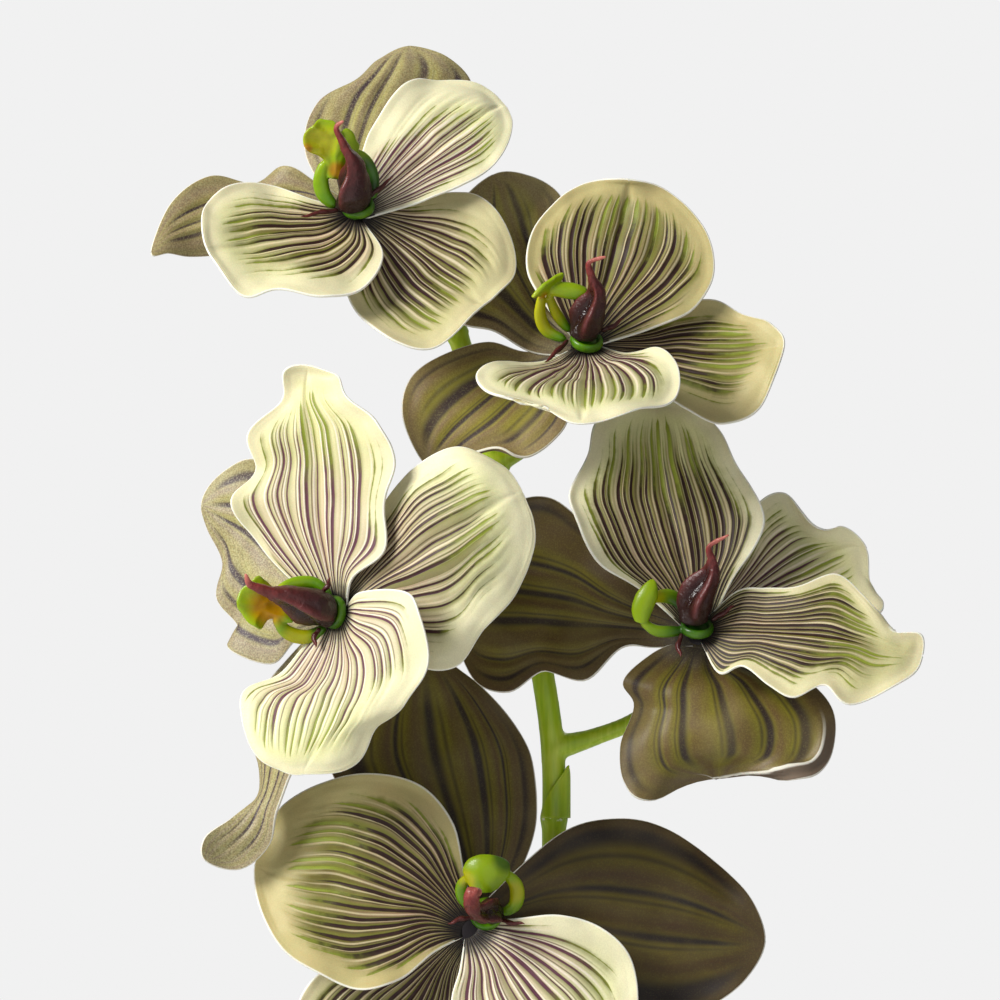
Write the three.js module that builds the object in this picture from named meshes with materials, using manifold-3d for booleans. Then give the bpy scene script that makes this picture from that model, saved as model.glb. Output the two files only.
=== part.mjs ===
// A cut vanda orchid stem in a plain vase.
//
// A green flower stem stands in water in a narrow-necked, glazed ceramic vase. It carries five open blooms
// on short stalks. Every bloom has three pale striped blades in front (two petals and the dorsal sepal), two
// dark lateral sepals behind them, a green lip with a ring, arms and a cap, and a maroon hooded column with
// a hooked tail.
//
// Units are millimetres. X is to the right, Z is up and the blooms face -Y. The origin is the middle of the
// vase's foot, on the surface that it stands on.

import * as THREE from 'three';
import { mergeVertices } from 'three/addons/utils/BufferGeometryUtils.js';
import Module from 'manifold-3d';

const wasm = await Module();
wasm.setup();

// Driving dimensions

const BLADE_THICKNESS = 0.8;
const CLEARANCE = 0.3;
const STEM_RADIUS = 3.0;
const STEM_FOOT_SCALE = 1.12;
const STEM_TAPER = 0.24;
const STALK_RADIUS = 2.1;
const STALK_STRAIGHT_END = 5;
const ROOT_REACH = 1.4;
const ROOT_HALF_WIDTH = 2.7;
const HEART_RADIUS = 3.5;
const HEART_HALF_THICKNESS = 0.9;
const PETAL_LAYER = 0;
const DORSAL_LAYER = -0.5;
const SEPAL_LAYER = -2.5;
const STALK_LAYER = -3.7;

const VASE_HEIGHT = 200;
const VASE_WALL = 3.5;
const VASE_FLOOR = 6;
const WATER_LEVEL = 124;
const HOLE_OVERSHOOT = 2.6;

// Blooms
//
// heart is the world place of a bloom's heart as [right, forward, up], and facing is its outward direction
// as [right, up, forward].
//
// A blade is a list of cross-sections from near the heart to the tip. Each row gives the left edge, the rib
// and the right edge, and every point is [right, up, forward] in millimetres from the bloom's heart, as seen
// from the front. Left is the left-hand side of someone walking from the heart to the tip. The last row is
// the tip alone. The root at the heart is worked out from the blade's direction and its layer. The column,
// its two tendrils and the lip's ring, cap and arms are given from the heart too.

const BLOOMS = [
  {
    name: 'bloom_1',
    heart: [-48, 22, 578],
    facing: [-0.1, 0.5, 0.86],
    petals: [
      {
        layer: PETAL_LAYER,
        rows: [
          [[1.5, 15, -7], [11, 8.5, -3], [12, 1.5, 0]],
          [[4.5, 22.5, -11], [18, 14.5, -6], [20, 4, 0]],
          [[12, 31.5, -15], [25, 20, -9], [28.5, 8, -2]],
          [[21, 33, -18], [31, 24.5, -12], [34.5, 13, -6]],
          [[31, 31.8, -18], [35, 27, -15], [37.8, 20, -11]],
          [[36.8, 27, -16]],
        ],
      },
      {
        layer: PETAL_LAYER,
        rows: [
          [[6.5, -10.5, 10], [-6, -4.5, 4], [-12, 3.5, -1]],
          [[1.5, -18, 16], [-13, -6.5, 6], [-20, 7, -2]],
          [[-8, -20.8, 18], [-20, -7.5, 8], [-27, 7.6, -1]],
          [[-19, -19.5, 16], [-27, -8.5, 9], [-33.5, 5.5, 2]],
          [[-28, -20.3, 16], [-33, -9, 11], [-37.5, 0, 6]],
          [[-36.6, -9, 12]],
        ],
      },
      {
        layer: DORSAL_LAYER,
        rows: [
          [[14, 2.8, -4], [10, -6.5, 0], [-1, -13, 3]],
          [[24, 5, -7], [16, -11, 2], [-2.3, -19.5, 6]],
          [[32, 2, -6], [21.5, -15.5, 4], [2, -26.5, 10]],
          [[38, -7, -2], [26.5, -19, 6], [10, -32.3, 14]],
          [[38.5, -15.5, 2], [29.5, -21.5, 8], [20, -33, 14]],
          [[31.5, -22.5, 9]],
        ],
      },
    ],
    sepals: [
      {
        layer: SEPAL_LAYER,
        rows: [
          [[-11, 11, -9], [0, 12, -8], [11, 10, -9]],
          [[-12.8, 19, -14], [2, 21, -14], [19, 19, -16]],
          [[-9.5, 28, -20], [5.5, 29, -20], [25.5, 27.5, -22]],
          [[-1, 32.5, -23], [9, 35.5, -22], [28, 33.5, -26]],
          [[5, 38.5, -27], [11, 40, -26], [21.5, 39.5, -28]],
          [[12.5, 42.4, -28]],
        ],
      },
      {
        layer: SEPAL_LAYER,
        rows: [
          [[-12, -3, -6], [-12, 3, -5], [-10, 7.5, -6]],
          [[-24, -7, -9], [-22, 2, -7], [-17, 11.3, -8]],
          [[-34, -9.7, -10], [-31, 0.5, -8], [-25.5, 8, -12]],
          [[-41, -10.2, -9], [-39, -2, -8], [-36, 9.2, -11]],
          [[-46.5, -9.5, -6], [-46, -5, -6], [-45.5, 2.5, -8]],
          [[-50.5, -9.5, -5]],
        ],
      },
    ],
    column: [
      [-0.8, 1.6, 2.6], [-1.2, 6, 6], [-0.6, 11, 9],
      [-2.6, 16, 12], [-4.7, 20.3, 14], [-3, 22.2, 15],
    ],
    ring: [0.4, 1.4, 2.2],
    cap: [
      [[-7.2, 8.6, 3.6], [-5.4, 8.4, 3], [-3.4, 8.6, 3.4]],
      [[-8, 12.8, 4.8], [-5.6, 12.6, 4], [-3, 13, 4.6]],
      [[-13.4, 16.4, 7.4], [-8, 17, 5], [-3, 18, 6.4]],
      [[-10.4, 21.9, 8], [-7.6, 20.6, 6.6], [-4.6, 21.6, 7.6]],
      [[-7.6, 22.5, 8]],
    ],
    arms: [
      { half: 1.6, line: [[-5.2, 1.4, 2.2], [-8, 4.6, 2.8], [-8.7, 8.4, 3.4], [-7.6, 12.6, 4.2]] },
      { half: 1.5, line: [[4.2, 3.6, 0.8], [3.8, 9, 0.2], [1, 13.6, 1], [-4.4, 15, 4.6]] },
    ],
    tendrils: [
      [[-4.6, 0.6, 3.4], [-8.4, 0, 5], [-13.6, -0.9, 7.4]],
      [[3.4, 4, 4], [5.6, 6, 3.4], [9, 8.6, 2]],
    ],
  },
  {
    name: 'bloom_2',
    heart: [8.1, 26, 545.5],
    facing: [-0.1, 0.6, 0.79],
    petals: [
      {
        layer: PETAL_LAYER,
        rows: [
          [[-9, 9, -1], [3.5, 11, -3], [16, 4, -1]],
          [[-14, 18, -4], [6.5, 20, -7], [26, 8.5, -3]],
          [[-13, 27.5, -8], [9, 28, -10], [31.5, 17, -7]],
          [[-8, 34.5, -11], [10.5, 35, -12], [30, 27.5, -10]],
          [[0, 39.8, -13], [11, 39.2, -12.5], [22, 37, -12]],
          [[11, 41.2, -12]],
        ],
      },
      {
        layer: DORSAL_LAYER,
        rows: [
          [[15, 4.8, -6], [14, -1, -3], [12, -6, -1]],
          [[24, 9.5, -9], [22, -1.5, -4], [18.5, -11, 0]],
          [[32, 11.3, -9], [30, -2, -3], [25, -15.8, 2]],
          [[40, 7.7, -6], [38, -1.5, -1], [33.5, -19.7, 3]],
          [[45.8, 4.7, -2], [44.5, -0.6, 0], [43, -15.5, 4]],
          [[48.8, -0.5, 1]],
        ],
      },
      {
        layer: PETAL_LAYER,
        rows: [
          [[10, -2.3, 5], [0.5, -4.8, 8], [-10, -4.2, 5]],
          [[18, -2, 12], [0, -7.4, 17], [-20, -5, 12]],
          [[22.5, -6, 20], [-0.5, -10.6, 25], [-26.5, -8.6, 20]],
          [[21.5, -12.6, 28], [-1, -14.2, 31], [-22, -12.8, 27]],
          [[12, -16.6, 33], [-1, -17.4, 34.5], [-11, -15.4, 32]],
          [[-1.5, -19.4, 35.5]],
        ],
      },
    ],
    sepals: [
      {
        layer: SEPAL_LAYER,
        rows: [
          [[-13, -1.6, -5], [-9, 6, -8], [-4, 11, -9]],
          [[-22, 3.5, -7], [-14.5, 14, -12], [-5, 20, -14]],
          [[-31, 6, -9], [-19, 23, -16], [-5, 29, -18]],
          [[-36, 18, -13], [-22, 31, -19], [-6, 37, -21]],
          [[-33, 32, -17], [-22.5, 38, -21], [-13, 41.8, -22]],
          [[-22.5, 42.4, -22]],
        ],
      },
      {
        layer: SEPAL_LAYER,
        rows: [
          [[-3, -12.5, -1], [-10.5, -6.6, -4], [-14, -1.8, -6]],
          [[-5.5, -20.5, 2], [-17.5, -11.6, -4], [-24, 0.8, -8]],
          [[-13.5, -26.6, 4], [-24, -17, -2], [-35, -2.5, -7]],
          [[-21.5, -24.8, 3], [-30.5, -22.2, -1], [-43, -8.5, -5]],
          [[-29.5, -27, 2], [-35, -26.6, 0], [-44.4, -18.5, -2]],
          [[-38, -30, 0]],
        ],
      },
    ],
    column: [
      [-0.4, 2, 3.4], [0.4, 6.6, 6.6], [2.6, 12, 9.6],
      [1.6, 16.4, 12], [1, 20, 13.4], [5, 21.4, 14.6],
    ],
    ring: [0.4, 1, 2.6],
    cap: [
      [[-13.1, 11.6, 9.4], [-12.7, 11.5, 9.2], [-12.3, 11.5, 9]],
      [[-10.2, 14.5, 9.2], [-9.8, 13.6, 7.6], [-9.4, 12.6, 6.2]],
      [[-7.5, 16.9, 8], [-7.3, 15.6, 6.4], [-7, 14, 5]],
      [[-5.2, 17.6, 7]],
    ],
    arms: [
      { half: 1.3, line: [[-4.6, 1.2, 2.6], [-9.2, 3.4, 3.4], [-11, 7.3, 5], [-10.6, 12.4, 7.2]] },
      { half: 1.1, line: [[-3.6, 3.4, 1.6], [-5.6, 5.6, 2.6], [-7.6, 8.8, 4.4], [-9, 12.4, 6.4]] },
      { half: 1.7, line: [[-9, 13.4, 6.8], [-5.4, 13.4, 6.4], [-2.2, 13, 6], [0.6, 12.6, 5.4]] },
    ],
    tendrils: [
      [[-4.4, 1, 4], [-6.6, -1.4, 6.2], [-10, -4.2, 9.6]],
      [[4, 3.4, 4.4], [6.6, 4.6, 4], [9.6, 6.4, 3.4]],
    ],
  },
  {
    name: 'bloom_3',
    heart: [-52.4, 38, 480.1],
    facing: [-0.62, 0.1, 0.78],
    petals: [
      {
        layer: PETAL_LAYER,
        rows: [
          [[-13, 9.5, -6], [-2.6, 11, 0], [3.8, 8.6, 4]],
          [[-20, 17.5, -8.5], [-4.4, 20, -1], [11.5, 15, 7.5]],
          [[-26, 27, -8.5], [-5, 29, -2], [11.4, 26, 6]],
          [[-20, 35, -10], [-5.5, 37, -3], [14, 36.5, 6.5]],
          [[-22, 43.5, -9], [-6.5, 44.5, -4], [9.8, 46.4, 4]],
          [[-13.8, 52, -9], [-8, 51.5, -6], [2.4, 52.6, 0]],
          [[-13.2, 59, -8], [-7.6, 57.5, -8], [-0.2, 57.6, -6]],
          [[-7.5, 60.4, -8]],
        ],
      },
      {
        layer: DORSAL_LAYER,
        rows: [
          [[6, 13.5, -3], [10, 8, 4], [12, -7, 3]],
          [[10.2, 23.5, -2], [17.5, 13, 8], [21, -13, 6]],
          [[15.5, 32, 1], [24.5, 18, 11], [29.5, -12.6, 8]],
          [[23, 37.4, 4], [31, 22, 13], [35.5, -3, 9]],
          [[31, 39.8, 7], [36.5, 25.4, 14], [43, 5, 9]],
          [[39, 35.6, 9], [41.4, 28, 13], [46.7, 16, 10]],
          [[44.4, 29, 11]],
        ],
      },
      {
        layer: PETAL_LAYER,
        rows: [
          [[6.5, 5, 9], [1.6, -8, 7], [-8, -8.4, 0]],
          [[18.6, 3.8, 18], [2, -14, 11], [-14, -15.4, -2]],
          [[22.4, -11, 22], [0.5, -20, 13], [-22.2, -19.8, -2]],
          [[17, -21, 20], [-2, -26, 14], [-23.2, -26.6, 2]],
          [[10, -27.4, 15], [-4.2, -31, 14], [-20.6, -33.4, 5]],
          [[4.6, -36.4, 13], [-6.8, -36, 13], [-14.6, -37.8, 8]],
          [[-8.6, -39.6, 11]],
        ],
      },
    ],
    sepals: [
      {
        layer: SEPAL_LAYER,
        rows: [
          [[-10, -6.6, -8], [-8, 4.6, -7], [-4.6, 14, -6]],
          [[-16.4, -12.6, -9], [-13, 8.6, -11], [-8.6, 24, -10]],
          [[-26.8, -9, -14], [-17, 12.4, -15], [-12, 31.4, -15]],
          [[-24.6, -4, -18], [-20.6, 16, -18], [-16.4, 36, -19]],
          [[-29.8, 3, -21], [-24, 19, -20], [-22, 37.3, -22]],
          [[-28.6, 12, -23], [-27.4, 21.6, -22], [-27.6, 34.6, -24]],
          [[-32, 20.5, -25], [-30.8, 24, -24], [-32, 30.8, -25]],
          [[-33.8, 26, -25]],
        ],
      },
      {
        layer: SEPAL_LAYER,
        rows: [
          [[-4, -14, -5], [-8, -13, -9], [-12.6, -12, -12]],
          [[-7.6, -24, -6], [-12, -22, -14], [-19, -20, -19]],
          [[-9, -33, -6], [-14.6, -31, -15], [-21.6, -29, -22]],
          [[-12.4, -40.6, -6], [-16.4, -38.6, -14], [-19.6, -38, -21]],
          [[-15, -48, -8], [-18.2, -46, -13], [-19.8, -46, -17]],
          [[-17, -57, -11], [-22, -53, -12], [-26, -50.8, -13]],
          [[-24, -63, -12], [-28, -58.5, -12], [-32.8, -55.5, -11]],
          [[-32.6, -61, -11]],
        ],
      },
    ],
    column: [
      [-1.6, 0.2, 3], [-6, 0.8, 6], [-11.4, 3.2, 8.6],
      [-16.4, 5, 11], [-21, 6.9, 13], [-22.3, 9.4, 14],
    ],
    ring: [-0.8, 0, 2.4],
    cap: [
      [[-11, -3, 2.6], [-11, 1, 1.6], [-11, 4.6, 2.6]],
      [[-16.4, -1.8, 4], [-16.4, 2, 3], [-16, 6.4, 4]],
      [[-19.4, -4.3, 6.4], [-20, 1.6, 4.6], [-18.6, 8.9, 6.4]],
      [[-22.6, -1, 6.6], [-22.8, 2, 5.8], [-22.4, 6.8, 6.6]],
      [[-24.8, 2.4, 6.6]],
    ],
    arms: [
      { half: 1.3, line: [[-1.6, 4.2, 1.8], [-6, 7.2, 2], [-11.4, 6.8, 2.6], [-15.6, 4.4, 3.6]] },
      { half: 1.5, line: [[-3, -3.8, 0.6], [-7.6, -6, 0.8], [-12.4, -4.8, 1.8], [-15.4, -0.8, 3.4]] },
    ],
    tendrils: [
      [[-4.4, -4, 3], [-5.6, -6, 4], [-5.4, -8.6, 5.6]],
      [[-4, 4.4, 3.6], [-2.6, 6.4, 4.6], [-1.6, 8.4, 5.4]],
    ],
  },
  {
    name: 'bloom_4',
    heart: [36.3, 28, 475.2],
    facing: [-0.2, 0.42, 0.88],
    petals: [
      {
        layer: PETAL_LAYER,
        rows: [
          [[-14.6, 10.4, 0], [-3, 11, -1], [8, 13, -1]],
          [[-25, 17, 2], [-5, 18.5, -3], [13.5, 21, 0]],
          [[-29.4, 26.4, 0], [-7, 26.5, -5], [15.8, 28, -1]],
          [[-31.8, 34, -3], [-9, 34, -8], [13, 34.6, -6]],
          [[-27.6, 42.6, -10], [-10.4, 41.6, -11], [8.6, 41.6, -10]],
          [[-25.6, 51, -12], [-11, 48.6, -14], [4.8, 49.6, -14]],
          [[-18.6, 57, -16], [-10.6, 54.6, -16], [-2, 55.4, -16]],
          [[-10.4, 58, -17]],
        ],
      },
      {
        layer: DORSAL_LAYER,
        rows: [
          [[6, 12, -6], [9, 7, -4], [11, 3, -2]],
          [[10, 21, -9], [15, 10.4, -7], [19, 3, -3]],
          [[14, 31, -10], [21, 14, -9], [27, 2.4, -4]],
          [[21, 33.8, -13], [27, 17, -10], [36, 1.6, -4]],
          [[28.5, 27, -11], [32, 19, -11], [44.6, 4.4, -5]],
          [[35, 25.2, -12], [37, 20.4, -11], [41.6, 11, -9]],
          [[40.9, 20, -11]],
        ],
      },
      {
        layer: PETAL_LAYER,
        rows: [
          [[9, 9.8, 3], [9, 1, 5], [4.6, -10, 7.5]],
          [[16, 10.6, 5], [16, 0.8, 8], [10.5, -8.4, 9.5]],
          [[24, 10.7, 7], [23.5, 0.5, 11], [17, -13.2, 13.5]],
          [[33, 14, 8], [31, 0, 13], [22.5, -15.8, 16.5]],
          [[39.6, 8.8, 11], [38, -1.6, 14.5], [30, -12.8, 16.5]],
          [[45.6, 0.5, 14], [44, -3.6, 15.5], [36.4, -17.4, 19]],
          [[53, -0.3, 17], [49.6, -5, 16.5], [50.2, -11, 18]],
          [[53.8, -5.6, 17]],
        ],
      },
    ],
    sepals: [
      {
        layer: SEPAL_LAYER,
        rows: [
          [[-11, -3.8, -5], [-13, 1.2, -6], [-11.6, 9, -7]],
          [[-19, -4, -6], [-22, 2.5, -8], [-21, 18, -10]],
          [[-28, -12, -6], [-31, 4, -11], [-29, 27, -13]],
          [[-38, -9.8, -11], [-40, 5, -13], [-37, 32.7, -15]],
          [[-47, -15, -10], [-49, 5.5, -15], [-46, 31, -17]],
          [[-56, -11, -13], [-55.4, 5, -15.6], [-54, 21, -18]],
          [[-60.6, 5, -17]],
        ],
      },
      {
        layer: SEPAL_LAYER,
        rows: [
          [[9, -6, -4], [0, -9, -1], [-11, -5.2, -4]],
          [[20, -9, -3], [0.5, -14, 3], [-18.6, -12, 0]],
          [[29, -14.5, -1], [1, -19.4, 5], [-16.2, -18, -2]],
          [[33, -22, 2], [1.5, -24.6, 6], [-19.4, -28, 2]],
          [[31, -32, 5], [2, -29, 5], [-18.6, -36.6, 5]],
          [[23, -36, 7], [2.6, -31.2, 2], [-12.6, -41.2, 7]],
          [[4, -35.6, -5]],
        ],
      },
    ],
    column: [
      [-1.6, 2.4, 3.4], [-1.2, 8, 6.6], [2.2, 14, 9],
      [2.8, 17.6, 10.6], [2.1, 21, 12], [6.8, 23.8, 13.6],
    ],
    ring: [-0.8, 1, 2.6],
    cap: [
      [[-16, 2.6, 6], [-14.4, 2.2, 6.4], [-13, 2.4, 6]],
      [[-16.8, 5.6, 6], [-14, 6, 7], [-11.6, 5.8, 6]],
      [[-15.4, 9.8, 6], [-12.8, 9.6, 7], [-10.4, 9.2, 6]],
      [[-11.6, 13, 6]],
    ],
    arms: [
      { half: 1.2, line: [[-3.4, 0.4, 2.4], [-7, 0.1, 4], [-11, 0.4, 5.2], [-14.6, 2.8, 6]] },
      { half: 1.5, line: [[-3.4, 5, 1], [-6, 8, 1.4], [-9, 8.8, 2.6], [-12.6, 8, 5.4]] },
    ],
    tendrils: [
      [[-4.6, -0.6, 4], [-5.4, -3.4, 5.6], [-5, -6, 7.4]],
      [[3, 3, 4.4], [5.4, 4.6, 5], [8.4, 6.4, 6]],
    ],
  },
  {
    name: 'bloom_5',
    heart: [-20.1, 24, 402.2],
    facing: [0.05, 0.12, 0.99],
    petals: [
      {
        layer: PETAL_LAYER,
        rows: [
          [[-9, -5.6, 4], [-9.5, 6, 2], [-1.6, 14.4, 2]],
          [[-17, -12, 7], [-17, 8.5, 3], [-4.4, 26, 4]],
          [[-26, -14.7, 8], [-25, 10.5, 3], [-12, 35, 3]],
          [[-36, -11, 7], [-33, 12, 2], [-24, 38, 0]],
          [[-45.6, -5, 4], [-41, 13, 0], [-37, 35, -4]],
          [[-51.4, 5, 0], [-48, 13.4, -3], [-47.6, 28, -7]],
          [[-52.6, 15, -5]],
        ],
      },
      {
        layer: DORSAL_LAYER,
        rows: [
          [[-2, -11, -1], [-7.5, -8, -2], [-13, -4, -2]],
          [[-1, -20, -1], [-12.5, -14.5, -3], [-25, -8, -3]],
          [[1, -29, -1], [-17, -21, -4], [-36, -10.6, -4]],
          [[0, -38, -2], [-20.5, -28, -5], [-42, -18, -3]],
          [[-6, -45.5, -3], [-23.5, -34.5, -5], [-42, -29, -2]],
          [[-16, -48, -3], [-26, -41, -4], [-37, -39.4, -2]],
          [[-27.6, -46, -3]],
        ],
      },
      {
        layer: PETAL_LAYER,
        rows: [
          [[12, 2.6, 4], [8, -6, 4], [-2.4, -10, 4]],
          [[22, 3.5, 7], [13, -11.5, 6], [-4.4, -18, 6]],
          [[32, 0.5, 8], [18, -17.5, 8], [-2, -27, 9]],
          [[39, -6.4, 8], [22.4, -23.5, 9], [4, -35, 11]],
          [[41, -17, 9], [26, -29, 10], [13, -40, 12]],
          [[38.4, -28.6, 9], [28.6, -34, 10], [22, -41, 11]],
          [[30, -38, 9]],
        ],
      },
    ],
    sepals: [
      {
        layer: SEPAL_LAYER,
        rows: [
          [[-10, 12, -7], [1.6, 14, -6], [11.5, 13, -6]],
          [[-20, 22, -11], [0.6, 24, -9], [15.8, 24, -9]],
          [[-29, 31, -14], [-1.2, 34, -12], [16, 34, -10]],
          [[-34.5, 40, -16], [-3.5, 44, -14], [14.2, 44, -13]],
          [[-31, 51, -17], [-6, 53, -16], [7.6, 54, -15]],
          [[-22, 60, -18], [-8.4, 61, -17], [-1, 62, -17]],
          [[-10, 66.6, -18]],
        ],
      },
      {
        layer: SEPAL_LAYER,
        rows: [
          [[14, 16.5, -5], [15, 5, -4], [13, -6, -3]],
          [[25, 24.5, -8], [25, 5.5, -5], [23, -14, -3]],
          [[37, 26.7, -9], [36, 4.5, -5], [34, -20, -3]],
          [[49, 23.8, -9], [47, 3, -4], [46, -22.6, -3]],
          [[61, 16, -7], [57, 1, -3], [57, -19.8, -2]],
          [[69, 6.8, -4], [66.4, -1.4, -2], [67, -13, -1]],
          [[72.3, -3, -1]],
        ],
      },
    ],
    column: [
      [5.4, 4, 3], [5.4, 4.8, 8], [2.6, 4.2, 13],
      [0.6, 6.2, 17], [0.6, 9.2, 19.6], [2.4, 9.8, 18],
    ],
    ring: [4, 3.8, 2.4],
    cap: [
      [[0, 10.6, 6.4], [3.6, 9.2, 7], [7, 10.8, 6.4]],
      [[-1.7, 14.4, 7], [3.6, 13, 9], [9.6, 13.4, 7]],
      [[-0.2, 17.4, 7.4], [3.8, 16.4, 9], [9.2, 17, 7.4]],
      [[4, 18.6, 8]],
    ],
    arms: [
      { half: 1.2, line: [[0.2, 5, 2.4], [-1.8, 7.6, 3.4], [-2, 11, 5], [0.4, 13.8, 7]] },
      { half: 1.5, line: [[8.2, 3.8, 2], [11.2, 6.4, 2.8], [11.2, 11, 4.4], [8, 14.6, 7]] },
    ],
    tendrils: [
      [[7.6, 2.4, 4], [10, 1.8, 6], [13.4, 1.4, 9]],
      [[0.6, 3, 4.4], [-2.2, 2.6, 5.4], [-5.4, 1.6, 6.4]],
    ],
  },
];

// Stem
//
// The main axis from its foot in the water to its top, and the stalk of each bloom from its joint on the
// axis. Points are world [right, back, up].

const STEM_LINE = [
  [6, 8, VASE_FLOOR + CLEARANCE], [1.4, 2.6, 90], [-3.4, -4, 180], [-2.2, -2.6, 285], [0.2, -0.4, 380],
  [0.6, 0, 424], [0.4, 0, 444], [-1.8, 0, 462], [-6.8, 0.5, 487], [-13.2, 1, 514], [-18.6, 1, 533],
  [-23, 1, 548],
];
const STEM_POINTS_IN_VASE = 4;

const STALKS = [
  { bloom: 'bloom_1', from: [-23, 1, 548], via: [[-29.5, -0.5, 560], [-38.5, -7, 571]] },
  { bloom: 'bloom_2', from: [-13.8, 1, 517], via: [[-6, 0, 521], [2.5, -8, 530]] },
  { bloom: 'bloom_3', from: [-4.4, 0.5, 476], via: [[-18, 0, 478.5], [-31, -7, 480], [-41, -19, 480]] },
  { bloom: 'bloom_4', from: [0.4, 0, 446], via: [[11, -1, 449], [22, -5, 454], [31, -14, 464]] },
  { bloom: 'bloom_5', from: [0.8, 0, 396], via: [[-6, -3, 398.5], [-14, -9, 400.5]] },
];

// Where the stem's ring-shaped joints are, as shares of its line.
const JOINTS = [0.31, 0.4, 0.47, 0.7];
const JOINT_HEIGHT = 0.55;
const JOINT_REACH = 0.006;

// Vector helpers

function world([right, up, forward]) {
  return new THREE.Vector3(right, -forward, up);
}

function heartPoint([right, forward, up]) {
  return world([right, up, forward]);
}

function catmullRom(before, a, b, after, t) {
  const t2 = t * t;
  const t3 = t2 * t;
  return new THREE.Vector3()
    .addScaledVector(before, -0.5 * t3 + t2 - 0.5 * t)
    .addScaledVector(a, 1.5 * t3 - 2.5 * t2 + 1)
    .addScaledVector(b, -1.5 * t3 + 2 * t2 + 0.5 * t)
    .addScaledVector(after, 0.5 * t3 - 0.5 * t2);
}

// The point at share u of a smooth line through the points, which are evenly spaced in u. beyond is the
// point that the line heads for after its end.
function along(points, u, beyond) {
  const last = points.length - 1;
  const i = Math.min(Math.floor(u * last), last - 1);
  const mirror = (p, q) => p.clone().multiplyScalar(2).sub(q);
  const before = i > 0 ? points[i - 1] : mirror(points[0], points[1]);
  const after = i + 2 <= last ? points[i + 2] : (beyond ?? mirror(points[last], points[last - 1]));
  return catmullRom(before, points[i], points[i + 1], after, u * last - i);
}

function headingAt(points, u) {
  const STEP = 0.01;
  return along(points, Math.min(u + STEP, 1)).sub(along(points, Math.max(u - STEP, 0))).normalize();
}

// Solids

function geometryOf(positions, faces) {
  const geometry = new THREE.BufferGeometry();
  const numbers = positions.flatMap((p) => [p.x, p.y, p.z]);
  geometry.setAttribute('position', new THREE.Float32BufferAttribute(numbers, 3));
  geometry.setIndex(faces.flat());
  return geometry;
}

function solid(geometry) {
  const bare = geometry.clone();
  bare.deleteAttribute('normal');
  bare.deleteAttribute('uv');
  const merged = mergeVertices(bare, 1e-4);
  return new wasm.Manifold(new wasm.Mesh({
    numProp: 3,
    vertProperties: merged.attributes.position.array,
    triVerts: new Uint32Array(merged.index.array),
  }));
}

function joined(geometries) {
  return geometries.map(solid).reduce((sum, next) => sum.add(next));
}

// The largest body of a solid, so that a cut leaves no loose scrap.
function largest(cut) {
  return cut.decompose().reduce((a, b) => (a.volume() > b.volume() ? a : b));
}

function meshOf(name, shape, material) {
  const data = shape.getMesh();
  const geometry = new THREE.BufferGeometry();
  geometry.setAttribute('position', new THREE.BufferAttribute(new Float32Array(data.vertProperties), 3));
  geometry.setIndex(new THREE.BufferAttribute(new Uint32Array(data.triVerts), 1));
  geometry.computeVertexNormals();
  const mesh = new THREE.Mesh(geometry, material);
  mesh.name = name;
  return mesh;
}

// Closes a grid of rings, each a list of points round the line, with a fan at both ends.
function skinned(rings) {
  const sides = rings[0].length;
  const positions = rings.flat();
  const faces = [];
  for (let i = 0; i + 1 < rings.length; i++) {
    for (let j = 0; j < sides; j++) {
      const a = i * sides + j;
      const b = i * sides + (j + 1) % sides;
      faces.push([a, b, a + sides], [b, b + sides, a + sides]);
    }
  }
  const middle = (ring) => ring.reduce((sum, p) => sum.add(p), new THREE.Vector3()).divideScalar(sides);
  const first = positions.push(middle(rings[0])) - 1;
  const final = positions.push(middle(rings[rings.length - 1])) - 1;
  const lastRing = (rings.length - 1) * sides;
  for (let j = 0; j < sides; j++) {
    const k = (j + 1) % sides;
    faces.push([first, k, j], [final, lastRing + j, lastRing + k]);
  }
  return geometryOf(positions, faces);
}

// A tube along a smooth line through the points. radius(u) is [across, thick], and hint turns its section.
function tube(points, radius, steps, sides, hint = new THREE.Vector3(0, 1, 0)) {
  const rings = [];
  let side = hint.clone();
  for (let i = 0; i <= steps; i++) {
    const u = i / steps;
    const here = along(points, u);
    const heading = headingAt(points, u);
    side = side.addScaledVector(heading, -side.dot(heading)).normalize();
    const up = heading.clone().cross(side);
    const [across, thick] = radius(u);
    const ring = [];
    for (let j = 0; j < sides; j++) {
      const angle = 2 * Math.PI * j / sides;
      ring.push(here.clone()
        .addScaledVector(side, across * Math.cos(angle))
        .addScaledVector(up, thick * Math.sin(angle)));
    }
    rings.push(ring);
  }
  return skinned(rings);
}

// Blades

const BLADE_EXTRA_STEPS = 3;
const BLADE_CELLS = 6;

// The root of a blade: three points beside the heart, in its own layer and turned to the blade's direction.
function rootRow(layer, first, facing) {
  const outward = world(facing).normalize();
  const base = outward.clone().multiplyScalar(layer);
  const heading = first.clone().sub(base);
  heading.addScaledVector(outward, -heading.dot(outward)).normalize();
  const leftward = outward.clone().cross(heading);
  return [ROOT_HALF_WIDTH, 0, -ROOT_HALF_WIDTH].map((aside) => base.clone()
    .addScaledVector(leftward, aside)
    .addScaledVector(heading, aside ? ROOT_REACH / 2 : ROOT_REACH));
}

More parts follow.
